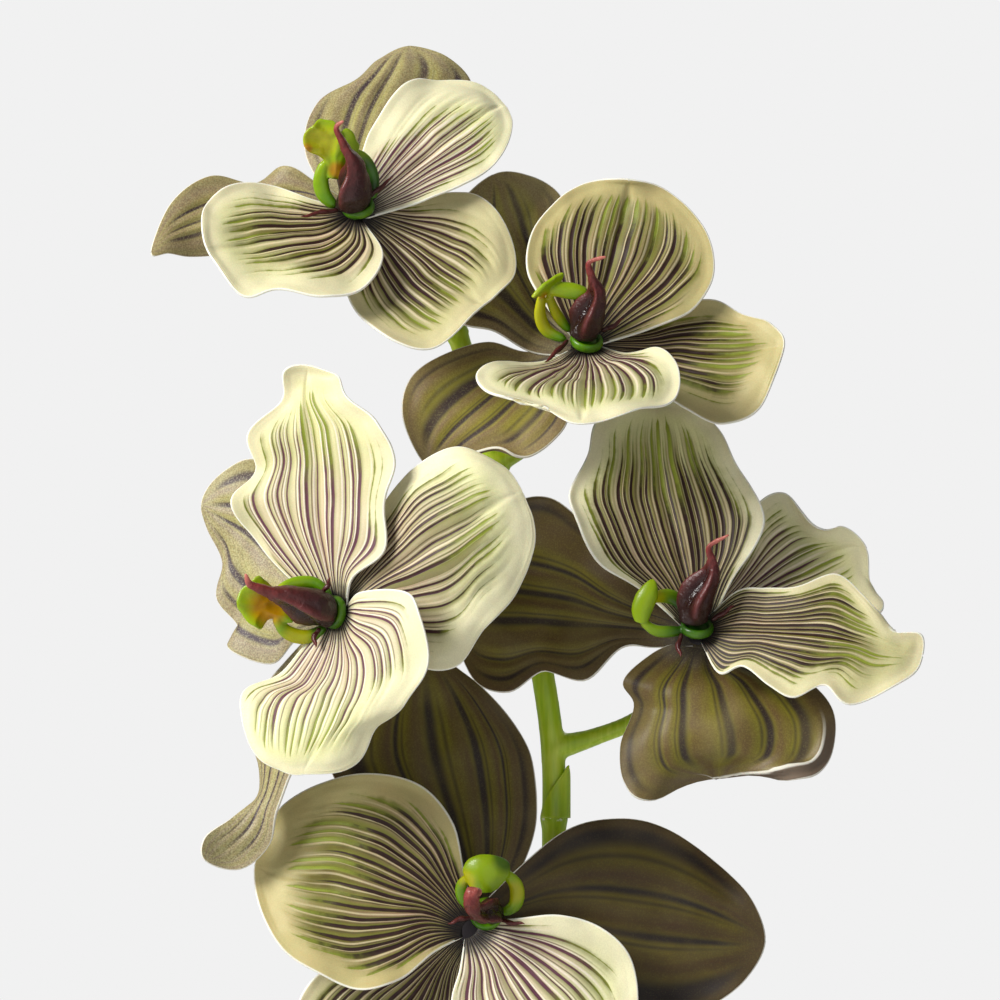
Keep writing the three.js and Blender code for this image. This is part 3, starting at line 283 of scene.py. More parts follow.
BLOOMS["bloom_3"] = {
    "heart": [-52.4, 38, 480.1],
    "facing": [-0.62, 0.1, 0.78],
    "petals": [
        petal(PETAL_LAYER, stripes=17, olive=0.1, shade=0.3, spread=0.2, bare=[3, 5, 4], rows=[
            [[-13, 9.5, -6], [-2.6, 11, 0], [3.8, 8.6, 4]],
            [[-20, 17.5, -8.5], [-4.4, 20, -1], [11.5, 15, 7.5]],
            [[-26, 27, -8.5], [-5, 29, -2], [11.4, 26, 6]],
            [[-20, 35, -10], [-5.5, 37, -3], [14, 36.5, 6.5]],
            [[-22, 43.5, -9], [-6.5, 44.5, -4], [9.8, 46.4, 4]],
            [[-13.8, 52, -9], [-8, 51.5, -6], [2.4, 52.6, 0]],
            [[-13.2, 59, -8], [-7.6, 57.5, -8], [-0.2, 57.6, -6]],
            [[-7.5, 60.4, -8]],
        ]),
        petal(DORSAL_LAYER, stripes=19, olive=0.8, shade=0, spread=0.25, bare=[5, 6, 7], rows=[
            [[6, 13.5, -3], [10, 8, 4], [12, -7, 3]],
            [[10.2, 23.5, -2], [17.5, 13, 8], [21, -13, 6]],
            [[15.5, 32, 1], [24.5, 18, 11], [29.5, -12.6, 8]],
            [[23, 37.4, 4], [31, 22, 13], [35.5, -3, 9]],
            [[31, 39.8, 7], [36.5, 25.4, 14], [43, 5, 9]],
            [[39, 35.6, 9], [41.4, 28, 13], [46.7, 16, 10]],
            [[44.4, 29, 11]],
        ]),
        petal(PETAL_LAYER, stripes=20, olive=0.1, shade=0.05, spread=0.4, bare=[6, 4, 2.5], rows=[
            [[6.5, 5, 9], [1.6, -8, 7], [-8, -8.4, 0]],
            [[18.6, 3.8, 18], [2, -14, 11], [-14, -15.4, -2]],
            [[22.4, -11, 22], [0.5, -20, 13], [-22.2, -19.8, -2]],
            [[17, -21, 20], [-2, -26, 14], [-23.2, -26.6, 2]],
            [[10, -27.4, 15], [-4.2, -31, 14], [-20.6, -33.4, 5]],
            [[4.6, -36.4, 13], [-6.8, -36, 13], [-14.6, -37.8, 8]],
            [[-8.6, -39.6, 11]],
        ]),
    ],
    "sepals": [
        sepal(stripes=5, pale=0.6, shade=0.25, rows=[
            [[-10, -6.6, -8], [-8, 4.6, -7], [-4.6, 14, -6]],
            [[-16.4, -12.6, -9], [-13, 8.6, -11], [-8.6, 24, -10]],
            [[-26.8, -9, -14], [-17, 12.4, -15], [-12, 31.4, -15]],
            [[-24.6, -4, -18], [-20.6, 16, -18], [-16.4, 36, -19]],
            [[-29.8, 3, -21], [-24, 19, -20], [-22, 37.3, -22]],
            [[-28.6, 12, -23], [-27.4, 21.6, -22], [-27.6, 34.6, -24]],
            [[-32, 20.5, -25], [-30.8, 24, -24], [-32, 30.8, -25]],
            [[-33.8, 26, -25]],
        ]),
        sepal(stripes=5, pale=0.6, shade=0.25, rows=[
            [[-4, -14, -5], [-8, -13, -9], [-12.6, -12, -12]],
            [[-7.6, -24, -6], [-12, -22, -14], [-19, -20, -19]],
            [[-9, -33, -6], [-14.6, -31, -15], [-21.6, -29, -22]],
            [[-12.4, -40.6, -6], [-16.4, -38.6, -14], [-19.6, -38, -21]],
            [[-15, -48, -8], [-18.2, -46, -13], [-19.8, -46, -17]],
            [[-17, -57, -11], [-22, -53, -12], [-26, -50.8, -13]],
            [[-24, -63, -12], [-28, -58.5, -12], [-32.8, -55.5, -11]],
            [[-32.6, -61, -11]],
        ]),
    ],
    "column": [
        [-1.6, 0.2, 3], [-6, 0.8, 6], [-11.4, 3.2, 8.6],
        [-16.4, 5, 11], [-21, 6.9, 13], [-22.3, 9.4, 14],
    ],
    "opening": [-0.2, -1, 0.3],
    "radii": [3.7, 5.4, 3.7, 1.6, 0.9, 0.35],
    "crumple": 0.5,
    "ring": [-0.8, 0, 2.4],
    "cap": [
        [[-11, -3, 2.6], [-11, 1, 1.6], [-11, 4.6, 2.6]],
        [[-16.4, -1.8, 4], [-16.4, 2, 3], [-16, 6.4, 4]],
        [[-19.4, -4.3, 6.4], [-20, 1.6, 4.6], [-18.6, 8.9, 6.4]],
        [[-22.6, -1, 6.6], [-22.8, 2, 5.8], [-22.4, 6.8, 6.6]],
        [[-24.8, 2.4, 6.6]],
    ],
    "arms": [
        {"half": 1.3, "line": [[-1.6, 4.2, 1.8], [-6, 7.2, 2], [-11.4, 6.8, 2.6], [-15.6, 4.4, 3.6]]},
        {"half": 1.5, "line": [[-3, -3.8, 0.6], [-7.6, -6, 0.8], [-12.4, -4.8, 1.8], [-15.4, -0.8, 3.4]]},
    ],
    "tendrils": [
        [[-4.4, -4, 3], [-5.6, -6, 4], [-5.4, -8.6, 5.6]],
        [[-4, 4.4, 3.6], [-2.6, 6.4, 4.6], [-1.6, 8.4, 5.4]],
    ],
    "patches": [
        ("yellow", [-17.4, 2.4, 5], 7), ("orange", [-17, 1.4, 4], 6.4), ("yellow", [-10, -6, 1], 5),
    ],
    "stalk": [[-4.4, 0.5, 476], [-18, 0, 478.5], [-31, -7, 480], [-41, -19, 480]],
}
BLOOMS["bloom_4"] = {
    "heart": [36.3, 28, 475.2],
    "facing": [-0.2, 0.42, 0.88],
    "petals": [
        petal(PETAL_LAYER, stripes=25, olive=1.4, shade=0, spread=0.25, bare=[4, 5, 3.5], rows=[
            [[-14.6, 10.4, 0], [-3, 11, -1], [8, 13, -1]],
            [[-25, 17, 2], [-5, 18.5, -3], [13.5, 21, 0]],
            [[-29.4, 26.4, 0], [-7, 26.5, -5], [15.8, 28, -1]],
            [[-31.8, 34, -3], [-9, 34, -8], [13, 34.6, -6]],
            [[-27.6, 42.6, -10], [-10.4, 41.6, -11], [8.6, 41.6, -10]],
            [[-25.6, 51, -12], [-11, 48.6, -14], [4.8, 49.6, -14]],
            [[-18.6, 57, -16], [-10.6, 54.6, -16], [-2, 55.4, -16]],
            [[-10.4, 58, -17]],
        ]),
        petal(DORSAL_LAYER, stripes=19, olive=0.3, shade=0.2, spread=0.2, bare=[4, 5, 3], rows=[
            [[6, 12, -6], [9, 7, -4], [11, 3, -2]],
            [[10, 21, -9], [15, 10.4, -7], [19, 3, -3]],
            [[14, 31, -10], [21, 14, -9], [27, 2.4, -4]],
            [[21, 33.8, -13], [27, 17, -10], [36, 1.6, -4]],
            [[28.5, 27, -11], [32, 19, -11], [44.6, 4.4, -5]],
            [[35, 25.2, -12], [37, 20.4, -11], [41.6, 11, -9]],
            [[40.9, 20, -11]],
        ]),
        petal(PETAL_LAYER, stripes=23, olive=1.3, shade=0.5, spread=0.25, bare=[2, 3, 3.5], rows=[
            [[9, 9.8, 3], [9, 1, 5], [4.6, -10, 7.5]],
            [[16, 10.6, 5], [16, 0.8, 8], [10.5, -8.4, 9.5]],
            [[24, 10.7, 7], [23.5, 0.5, 11], [17, -13.2, 13.5]],
            [[33, 14, 8], [31, 0, 13], [22.5, -15.8, 16.5]],
            [[39.6, 8.8, 11], [38, -1.6, 14.5], [30, -12.8, 16.5]],
            [[45.6, 0.5, 14], [44, -3.6, 15.5], [36.4, -17.4, 19]],
            [[53, -0.3, 17], [49.6, -5, 16.5], [50.2, -11, 18]],
            [[53.8, -5.6, 17]],
        ]),
    ],
    "sepals": [
        sepal(stripes=6, pale=0, shade=0.9, rows=[
            [[-11, -3.8, -5], [-13, 1.2, -6], [-11.6, 9, -7]],
            [[-19, -4, -6], [-22, 2.5, -8], [-21, 18, -10]],
            [[-28, -12, -6], [-31, 4, -11], [-29, 27, -13]],
            [[-38, -9.8, -11], [-40, 5, -13], [-37, 32.7, -15]],
            [[-47, -15, -10], [-49, 5.5, -15], [-46, 31, -17]],
            [[-56, -11, -13], [-55.4, 5, -15.6], [-54, 21, -18]],
            [[-60.6, 5, -17]],
        ]),
        sepal(stripes=6, pale=0, shade=0.62, turned=1, rows=[
            [[9, -6, -4], [0, -9, -1], [-11, -5.2, -4]],
            [[20, -9, -3], [0.5, -14, 3], [-18.6, -12, 0]],
            [[29, -14.5, -1], [1, -19.4, 5], [-16.2, -18, -2]],
            [[33, -22, 2], [1.5, -24.6, 6], [-19.4, -28, 2]],
            [[31, -32, 5], [2, -29, 5], [-18.6, -36.6, 5]],
            [[23, -36, 7], [2.6, -31.2, 2], [-12.6, -41.2, 7]],
            [[4, -35.6, -5]],
        ]),
    ],
    "column": [
        [-1.6, 2.4, 3.4], [-1.2, 8, 6.6], [2.2, 14, 9],
        [2.8, 17.6, 10.6], [2.1, 21, 12], [6.8, 23.8, 13.6],
    ],
    "opening": [-1, 0.2, 1],
    "crumple": 0.1,
    "ring": [-0.8, 1, 2.6],
    "cap": [
        [[-16, 2.6, 6], [-14.4, 2.2, 6.4], [-13, 2.4, 6]],
        [[-16.8, 5.6, 6], [-14, 6, 7], [-11.6, 5.8, 6]],
        [[-15.4, 9.8, 6], [-12.8, 9.6, 7], [-10.4, 9.2, 6]],
        [[-11.6, 13, 6]],
    ],
    "arms": [
        {"half": 1.2, "line": [[-3.4, 0.4, 2.4], [-7, 0.1, 4], [-11, 0.4, 5.2], [-14.6, 2.8, 6]]},
        {"half": 1.5, "line": [[-3.4, 5, 1], [-6, 8, 1.4], [-9, 8.8, 2.6], [-12.6, 8, 5.4]]},
    ],
    "tendrils": [
        [[-4.6, -0.6, 4], [-5.4, -3.4, 5.6], [-5, -6, 7.4]],
        [[3, 3, 4.4], [5.4, 4.6, 5], [8.4, 6.4, 6]],
    ],
    "patches": [
        ("dark", [-3, 3, 1.6], 9), ("yellow", [-12, 8, 3.4], 4.5),
    ],
    "stalk": [[0.4, 0, 446], [11, -1, 449], [22, -5, 454], [31, -14, 464]],
}
BLOOMS["bloom_5"] = {
    "heart": [-20.1, 24, 402.2],
    "facing": [0.05, 0.12, 0.99],
    "petals": [
        petal(PETAL_LAYER, stripes=24, olive=1.6, shade=1.2, spread=0.45, bare=[4, 9, 4.5], rows=[
            [[-9, -5.6, 4], [-9.5, 6, 2], [-1.6, 14.4, 2]],
            [[-17, -12, 7], [-17, 8.5, 3], [-4.4, 26, 4]],
            [[-26, -14.7, 8], [-25, 10.5, 3], [-12, 35, 3]],
            [[-36, -11, 7], [-33, 12, 2], [-24, 38, 0]],
            [[-45.6, -5, 4], [-41, 13, 0], [-37, 35, -4]],
            [[-51.4, 5, 0], [-48, 13.4, -3], [-47.6, 28, -7]],
            [[-52.6, 15, -5]],
        ]),
        petal(DORSAL_LAYER, stripes=21, olive=0.9, shade=0.5, spread=0.3, bare=[3, 3, 3], rows=[
            [[-2, -11, -1], [-7.5, -8, -2], [-13, -4, -2]],
            [[-1, -20, -1], [-12.5, -14.5, -3], [-25, -8, -3]],
            [[1, -29, -1], [-17, -21, -4], [-36, -10.6, -4]],
            [[0, -38, -2], [-20.5, -28, -5], [-42, -18, -3]],
            [[-6, -45.5, -3], [-23.5, -34.5, -5], [-42, -29, -2]],
            [[-16, -48, -3], [-26, -41, -4], [-37, -39.4, -2]],
            [[-27.6, -46, -3]],
        ]),
        petal(PETAL_LAYER, stripes=17, olive=0.1, shade=0, spread=0.4, bare=[6, 3, 2], rows=[
            [[12, 2.6, 4], [8, -6, 4], [-2.4, -10, 4]],
            [[22, 3.5, 7], [13, -11.5, 6], [-4.4, -18, 6]],
            [[32, 0.5, 8], [18, -17.5, 8], [-2, -27, 9]],
            [[39, -6.4, 8], [22.4, -23.5, 9], [4, -35, 11]],
            [[41, -17, 9], [26, -29, 10], [13, -40, 12]],
            [[38.4, -28.6, 9], [28.6, -34, 10], [22, -41, 11]],
            [[30, -38, 9]],
        ]),
    ],
    "sepals": [
        sepal(stripes=6, pale=0, shade=0.8, rows=[
            [[-10, 12, -7], [1.6, 14, -6], [11.5, 13, -6]],
            [[-20, 22, -11], [0.6, 24, -9], [15.8, 24, -9]],
            [[-29, 31, -14], [-1.2, 34, -12], [16, 34, -10]],
            [[-34.5, 40, -16], [-3.5, 44, -14], [14.2, 44, -13]],
            [[-31, 51, -17], [-6, 53, -16], [7.6, 54, -15]],
            [[-22, 60, -18], [-8.4, 61, -17], [-1, 62, -17]],
            [[-10, 66.6, -18]],
        ]),
        sepal(stripes=4, pale=0, shade=1.25, rows=[
            [[14, 16.5, -5], [15, 5, -4], [13, -6, -3]],
            [[25, 24.5, -8], [25, 5.5, -5], [23, -14, -3]],
            [[37, 26.7, -9], [36, 4.5, -5], [34, -20, -3]],
            [[49, 23.8, -9], [47, 3, -4], [46, -22.6, -3]],
            [[61, 16, -7], [57, 1, -3], [57, -19.8, -2]],
            [[69, 6.8, -4], [66.4, -1.4, -2], [67, -13, -1]],
            [[72.3, -3, -1]],
        ]),
    ],
    "column": [
        [5.4, 4, 3], [5.4, 4.8, 8], [2.6, 4.2, 13],
        [0.6, 6.2, 17], [0.6, 9.2, 19.6], [2.4, 9.8, 18],
    ],
    "opening": [1, 0.2, 0.5],
    "crumple": 0.1,
    "radii": [3, 3.1, 2.3, 2, 1.8, 1],
    "ring": [4, 3.8, 2.4],
    "cap": [
        [[0, 10.6, 6.4], [3.6, 9.2, 7], [7, 10.8, 6.4]],
        [[-1.7, 14.4, 7], [3.6, 13, 9], [9.6, 13.4, 7]],
        [[-0.2, 17.4, 7.4], [3.8, 16.4, 9], [9.2, 17, 7.4]],
        [[4, 18.6, 8]],
    ],
    "arms": [
        {"half": 1.2, "line": [[0.2, 5, 2.4], [-1.8, 7.6, 3.4], [-2, 11, 5], [0.4, 13.8, 7]]},
        {"half": 1.5, "line": [[8.2, 3.8, 2], [11.2, 6.4, 2.8], [11.2, 11, 4.4], [8, 14.6, 7]]},
    ],
    "tendrils": [
        [[7.6, 2.4, 4], [10, 1.8, 6], [13.4, 1.4, 9]],
        [[0.6, 3, 4.4], [-2.2, 2.6, 5.4], [-5.4, 1.6, 6.4]],
    ],
    "patches": [
        ("yellow", [-1, 12, 8], 3.6), ("dark", [8.6, 17.4, 8], 4.5), ("yellow", [10.6, 9, 5], 4),
    ],
    "stalk": [[0.8, 0, 396], [-6, -3, 398.5], [-14, -9, 400.5]],
}

# Stem, its main axis as [right, back, up] in the world, and its joints as shares of that line

STEM_LINE = [
    [6, 8, VASE_FLOOR + CLEARANCE], [1.4, 2.6, 90], [-3.4, -4, 180], [-2.2, -2.6, 285], [0.2, -0.4, 380],
    [0.6, 0, 424], [0.4, 0, 444], [-1.8, 0, 462], [-6.8, 0.5, 487], [-13.2, 1, 514], [-18.6, 1, 533],
    [-23, 1, 548],
]
JOINTS = [0.31, 0.4, 0.47, 0.7]
JOINT_HEIGHT = 0.55
JOINT_REACH = 0.006

# Vase, as [radius, height] up the outside from the middle of its foot

VASE_OUTSIDE = [
    [0, 0], [27, 0], [29, 1], [32, 8], [38, 22], [43, 42], [44.5, 62], [42, 84], [35, 106], [26, 124],
    [18, 140], [13.6, 156], [12.4, 172], [12.8, 188], [14.6, 197], [15, 199.2], [14.4, VASE_HEIGHT],
]
VASE_MOUTH = [[12.2, VASE_HEIGHT], [11.4, VASE_HEIGHT - 1]]
FLOOR_RADIUS = 26

# Lines and surfaces, worked out for whole arrays of points in millimetres


def world(point):
    """[right, up, forward] in the frame's axes."""
    point = np.asarray(point, dtype=float)
    return np.stack([point[..., 0], -point[..., 2], point[..., 1]], axis=-1)


def heart_of(bloom):
    """The middle of a bloom in the frame's axes, where its blades meet."""
    right, forward, up = bloom["heart"]
    return world([right, up, forward])


def unit(vectors):
    length = np.linalg.norm(vectors, axis=-1, keepdims=True)
    return vectors / np.maximum(length, 1e-9)


def dot(a, b):
    return np.sum(a * b, axis=-1, keepdims=True)


def along(points, u, beyond=None):
    """The point at share u of a smooth line through the points. It heads for beyond after its end."""
    points = np.asarray(points, dtype=float)
    last = len(points) - 1
    before = 2 * points[0] - points[1]
    after = 2 * points[-1] - points[-2] if beyond is None else beyond
    padded = np.vstack([before, points, after])
    u = np.asarray(u, dtype=float)
    i = np.clip((u * last).astype(int), 0, last - 1)
    t = (u * last - i)[..., None]
    return (
        padded[i] * (-0.5 * t**3 + t**2 - 0.5 * t)
        + padded[i + 1] * (1.5 * t**3 - 2.5 * t**2 + 1)
        + padded[i + 2] * (-1.5 * t**3 + 2 * t**2 + 0.5 * t)
        + padded[i + 3] * (0.5 * t**3 - 0.5 * t**2)
    )


def heading_at(points, u):
    """The direction of the smooth line at share u."""
    step = 0.01
    return unit(along(points, np.minimum(u + step, 1)) - along(points, np.maximum(u - step, 0)))


def surface_at(body, tip, u, v):
    """A surface from rows of [left, rib, right] and a tip. v runs from -1 at the left edge to 1."""
    left, rib, right = (np.vstack([body[:, k], tip]) for k in range(3))
    return (
        along(left, u, body[-1, 2]) * (v * (v - 1) / 2)[..., None]
        + along(rib, u) * (1 - v * v)[..., None]
        + along(right, u, body[-1, 0]) * (v * (v + 1) / 2)[..., None]
    )


def front_normals(body, tip, u, v):
    """Unit vectors out of the front of the surface."""
    step = 0.02
    inner = np.clip(u, step, 1 - 2 * step)
    across = surface_at(body, tip, inner, v + step) - surface_at(body, tip, inner, v - step)
    outward = surface_at(body, tip, inner + step, v) - surface_at(body, tip, inner - step, v)
    return unit(np.cross(across, outward))


def root_row(layer, first, facing):
    """The three points of a blade beside the heart, in its own layer."""
    outward = unit(world(facing))
    base = outward * layer
    heading = first - base
    heading = unit(heading - outward * dot(heading, outward))
    leftward = np.cross(outward, heading)
    asides = [ROOT_HALF_WIDTH, 0, -ROOT_HALF_WIDTH]
    reaches = [ROOT_REACH / 2, ROOT_REACH, ROOT_REACH / 2]
    return [base + leftward * aside + heading * reach for aside, reach in zip(asides, reaches)]


def smooth_noise(points, scale, seed):
    """Soft random values from -1 to 1 at points of any shape, with bumps about scale across."""
    flat = points.reshape(-1, points.shape[-1]) / scale
    flat = np.pad(flat, ((0, 0), (0, 3 - flat.shape[1])))
    shift = Vector((seed * 17.3, seed * 5.9, seed * 11.7))
    values = [noise.noise(Vector(row) + shift) for row in flat]
    return np.array(values).reshape(points.shape[:-1])


def soft_step(value, start, end):
    """Rises smoothly from 0 at start to 1 at end."""
    t = np.clip((value - start) / (end - start), 0, 1)
    return t * t * (3 - 2 * t)


def full_turn(sides):
    """Angles of the sides of a round section."""
    return np.arange(sides) * 2 * math.pi / sides


def circle_about(axis, sides):
    """Points of a circle of radius 1 about the axis."""
    side = unit(np.cross(axis, (0, 0, 1)))
    up = np.cross(axis, side)
    turns = full_turn(sides)
    return np.outer(np.cos(turns), side) + np.outer(np.sin(turns), up)


def disc_rings(centre, axis, radius, half_thickness, turns, sides):
    """Rings of a flattened ball about the axis."""
    circle = circle_about(axis, sides)
    return np.array([
        centre + axis * half_thickness * math.cos(turn) + circle * radius * math.sin(turn)
        for turn in np.linspace(0, math.pi, turns)[1:-1]
    ])


# Meshes in the making

SAME_PLACE = 0.002
SMOOTHING = 0.5


class Skin:
    """Collects closed shells of points in millimetres, with named values at the points."""

    def __init__(self):
        self.points = []
        self.faces = []
        self.values = {}
        self.count = 0

    def add(self, points, faces, **values):
        points = np.asarray(points, dtype=float).reshape(-1, 3)
        self.faces += [tuple(corner + self.count for corner in face) for face in faces]
        self.points.append(points)
        for name, value in values.items():
            column = np.broadcast_to(np.asarray(value, dtype=float).reshape(-1), len(points))
            self.values.setdefault(name, []).append(column)
        self.count += len(points)

    def move(self, place):
        self.points = [points + place for points in self.points]

    def mesh(self, name):
        mesh = bpy.data.meshes.new(name)
        mesh.from_pydata((np.vstack(self.points) * MM).tolist(), [], self.faces)
        for key, columns in self.values.items():
            attribute = mesh.attributes.new(key, "FLOAT", "POINT")
            attribute.data.foreach_set("value", np.concatenate(columns).astype(np.float32))
        shells = bmesh.new()
        shells.from_mesh(mesh)
        bmesh.ops.remove_doubles(shells, verts=shells.verts, dist=SAME_PLACE * MM)
        bmesh.ops.recalc_face_normals(shells, faces=shells.faces)
        shells.to_mesh(mesh)
        shells.free()
        mesh.shade_smooth()
        return mesh


def ring_faces(rings, sides):
    """Quads between neighbouring rings of points, each closed on itself."""
    faces = []
    for i in range(rings - 1):
        for j in range(sides):
            a, b = i * sides + j, i * sides + (j + 1) % sides
            faces.append((a, b, b + sides, a + sides))
    return faces


def add_rings(skin, rings, **values):
    """A closed body from rings of points, shut by a fan at both ends."""
    count, sides = rings.shape[:2]
    faces = ring_faces(count, sides)
    first, final = count * sides, count * sides + 1
    start = (count - 1) * sides
    for j in range(sides):
        k = (j + 1) % sides
        faces += [(first, k, j), (final, start + j, start + k)]
    points = np.vstack([rings.reshape(-1, 3), rings[0].mean(axis=0), rings[-1].mean(axis=0)])
    spread = {}
    for name, value in values.items():
        column = np.broadcast_to(np.asarray(value, dtype=float), (count, sides))
        spread[name] = np.concatenate([column.reshape(-1), [column[0].mean(), column[-1].mean()]])
    skin.add(points, faces, **spread)


def add_sheet(skin, middle, lift):
    """A closed sheet whose two sides lie off its middle surface by a lift."""
    add_rings(skin, np.concatenate([middle + lift, (middle - lift)[:, ::-1]], axis=1))


def tube_rings(points, radius, steps, sides, hint=(0, 1, 0)):
    """Rings along a smooth line. radius(u) is (across, thick), and hint turns the section."""
    u = np.linspace(0, 1, steps + 1)
    here, heading = along(points, u), heading_at(points, u)
    angles = full_turn(sides)
    side = np.array(hint, dtype=float)
    rings = []
    for centre, forward, share in zip(here, heading, u):
        side = unit(side - forward * np.dot(side, forward))
        up = np.cross(forward, side)
        across, thick = radius(share)
        ring = centre + np.outer(np.cos(angles) * across, side) + np.outer(np.sin(angles) * thick, up)
        rings.append(ring)
    return np.array(rings), u[:, None]


def new_object(name, mesh, material, slot, *nodes):
    """One visible piece in the scene, which stands for the part's nodes that it replaces."""
    piece = bpy.data.objects.new(name, mesh)
    bpy.context.scene.collection.objects.link(piece)
    mesh.materials.clear()
    mesh.materials.append(material)
    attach(piece, "root")
    if nodes:
        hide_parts(*nodes)
    return piece


def fused(mesh, voxel, rounds):
    """The mesh with its overlapping shells grown into one skin, then smoothed."""
    draft = bpy.data.objects.new("draft", mesh)
    bpy.context.scene.collection.objects.link(draft)
    remesh = draft.modifiers.new("remesh", "REMESH")
    remesh.mode = "VOXEL"
    remesh.voxel_size = voxel * MM
    smooth = draft.modifiers.new("smooth", "SMOOTH")
    smooth.factor = SMOOTHING
    smooth.iterations = rounds
    depsgraph = bpy.context.evaluated_depsgraph_get()
    result = bpy.data.meshes.new_from_object(draft.evaluated_get(depsgraph))
    bpy.data.objects.remove(draft)
    result.shade_smooth()
    return result


def mesh_points(mesh):
    """The mesh's points in millimetres."""
    flat = np.empty(len(mesh.vertices) * 3)
    mesh.vertices.foreach_get("co", flat)
    return flat.reshape(-1, 3) / MM


def set_values(mesh, **values):
    for name, value in values.items():
        attribute = mesh.attributes.new(name, "FLOAT", "POINT")
        attribute.data.foreach_set("value", value.astype(np.float32))


# Blades

PETAL_ROWS = 72
PETAL_COLUMNS = 96
SEPAL_ROWS = 56
SEPAL_COLUMNS = 52
RIM_POINTS = 3
RIM_BULGE = 0.6
EDGE_CROWDING = 0.4
HEART_TURNS = 17
HEART_SIDES = 32

# Stripes: how far they sway and wobble, as shares of the blade's width, and how uneven their gaps are

SWAY = 0.03
WOBBLE = 0.006
BROAD_UNEVENNESS = 0.16
FINE_UNEVENNESS = 0.07
STRIPE_SEED_STEP = 40

# Relief in millimetres. The TURNED values shape the one margin that folds over: it starts at the share
# TURNED_FROM along the blade and is full from TURNED_FULL on.

PLEAT_DEPTH = 0.17
BROAD_PLEAT_DEPTH = 0.26
GROOVE_DEPTH = 0.6
RUFFLE = 2.6
RIM_CURL = 0.4
SEPAL_RIB_HEIGHT = 0.25
SEPAL_RUFFLE = 1.4
UNEVENNESS = 0.8
TURNED_MARGIN = 2.9
TURNED_LIFT = 1.8
TURNED_WIDTH = 1.1
TURNED_FROM = 0.5
TURNED_FULL = 0.7

# The margin value that a blade's rim carries, below that of every point inside it

RIM_MARGIN = -0.3


def blade_shares(rows, columns):
    """Shares along and across a blade, closer together at its edges."""
    u = np.linspace(0, 1, rows)
    even = np.linspace(-1, 1, columns)
    v = (1 - EDGE_CROWDING) * even + EDGE_CROWDING * np.sin(even * math.pi / 2)
    return np.meshgrid(u, v, indexing="ij")


def margin_distance(middle):
    """How far each point is from the blade's free edge, which starts beyond its root."""
    root_rows = 3
    edge = np.vstack([middle[root_rows:, 0], middle[root_rows:, -1]])
    flat = middle.reshape(-1, 3)
    nearest = [np.min(np.linalg.norm(edge - point, axis=1)) for point in flat]
    return np.array(nearest).reshape(middle.shape[:2])


def rim_directions(middle):
    """Unit vectors out of the blade at its left and right edge, row by row."""
    directions = []
    for edge, inner in ((0, 1), (-1, -2)):
        tangent = unit(np.gradient(middle[:, edge], axis=0))
        out = middle[:, edge] - middle[:, inner]
        out = unit(out - tangent * dot(out, tangent))
        out[-1] = unit(middle[-1, edge] - middle[-2, middle.shape[1] // 2])
        directions.append(out)
    return directions


def blade_rings(middle, normal):
    """Rings of points round a blade, row by row: its front, right rim, back and left rim."""
    left_out, right_out = rim_directions(middle)
    half = BLADE_THICKNESS / 2
    turns = np.linspace(0, math.pi, RIM_POINTS + 2)[1:-1]

    def rim(edge, out, angles):
        lift = np.cos(angles)[None, :, None] * normal[:, edge][:, None]
        push = np.sin(angles)[None, :, None] * out[:, None] * RIM_BULGE
        return middle[:, edge][:, None] + (lift + push) * half

    front = middle + normal * half
    back = (middle - normal * half)[:, ::-1]
    return np.concatenate([front, rim(-1, right_out, turns), back, rim(0, left_out, turns[::-1])], axis=1)


def round_trip(value, at_rim=None):
    """A value of the middle surface, for every point of the rings round it."""
    right, left = (np.repeat(value[:, edge][:, None], RIM_POINTS, axis=1) for edge in (-1, 0))
    if at_rim is not None:
        right, left = np.full_like(right, at_rim), np.full_like(left, at_rim)
    return np.concatenate([value, right, value[:, ::-1], left], axis=1)


def blade_faces(rows, columns):
    """Faces between the rings of a blade, and across its root. Its tip closes where its points meet."""
    sides = 2 * (columns + RIM_POINTS)
    back_end = sides - RIM_POINTS - 1
    across_root = [(j, j + 1, back_end - 1 - j, back_end - j) for j in range(columns - 1)]
    right_end = tuple(range(columns - 1, columns + RIM_POINTS + 1))
    left_end = (back_end, *range(back_end + 1, sides), 0)
    return [*ring_faces(rows, sides), *across_root, right_end, left_end]


def add_blade(skin, blade, facing, seed, shape, relief):
    """One thin closed blade with a rounded rim. relief gives how far each point is lifted."""
    points = world(blade["rows"][:-1])
    body = np.vstack([[root_row(blade["layer"], points[0, 1], facing)], points])
    tip = world(blade["rows"][-1][0])
    u, v = blade_shares(*shape)
    middle = surface_at(body, tip, u, v)
    normal = front_normals(body, tip, u, v)
    margin = margin_distance(middle)
    phase = stripe_phase(blade, u, v, seed)
    lift = relief(middle, u, v, phase, margin, seed)
    turned = blade["turned"] * soft_step(u, TURNED_FROM, TURNED_FULL) * soft_step(-v, -0.5, -0.1)
    lift += TURNED_LIFT * turned * np.exp(-(((margin - TURNED_MARGIN) / TURNED_WIDTH) ** 2))
    middle = middle + normal * lift[..., None]
    rings = blade_rings(middle, normal)
    rows, columns = shape
    side = np.ones(rings.shape[:2])
    side[:, columns:] = 0
    values = {
        "phase": round_trip(phase),
        "crowding": round_trip(stripe_density(phase, middle)),
        "reach": round_trip(u),
        "across": round_trip(v),
        "margin": round_trip(margin, at_rim=RIM_MARGIN),
        "inner": round_trip(bare_share(blade, u, v, margin)),
        "base": round_trip(np.linalg.norm(middle, axis=-1)),
        "side": side,
        "tone": np.full_like(side, blade["tone"]),
        "shade": np.full_like(side, blade["shade"]),
        "turned": round_trip(turned),
    }
    skin.add(rings, blade_faces(rows, columns), **values)


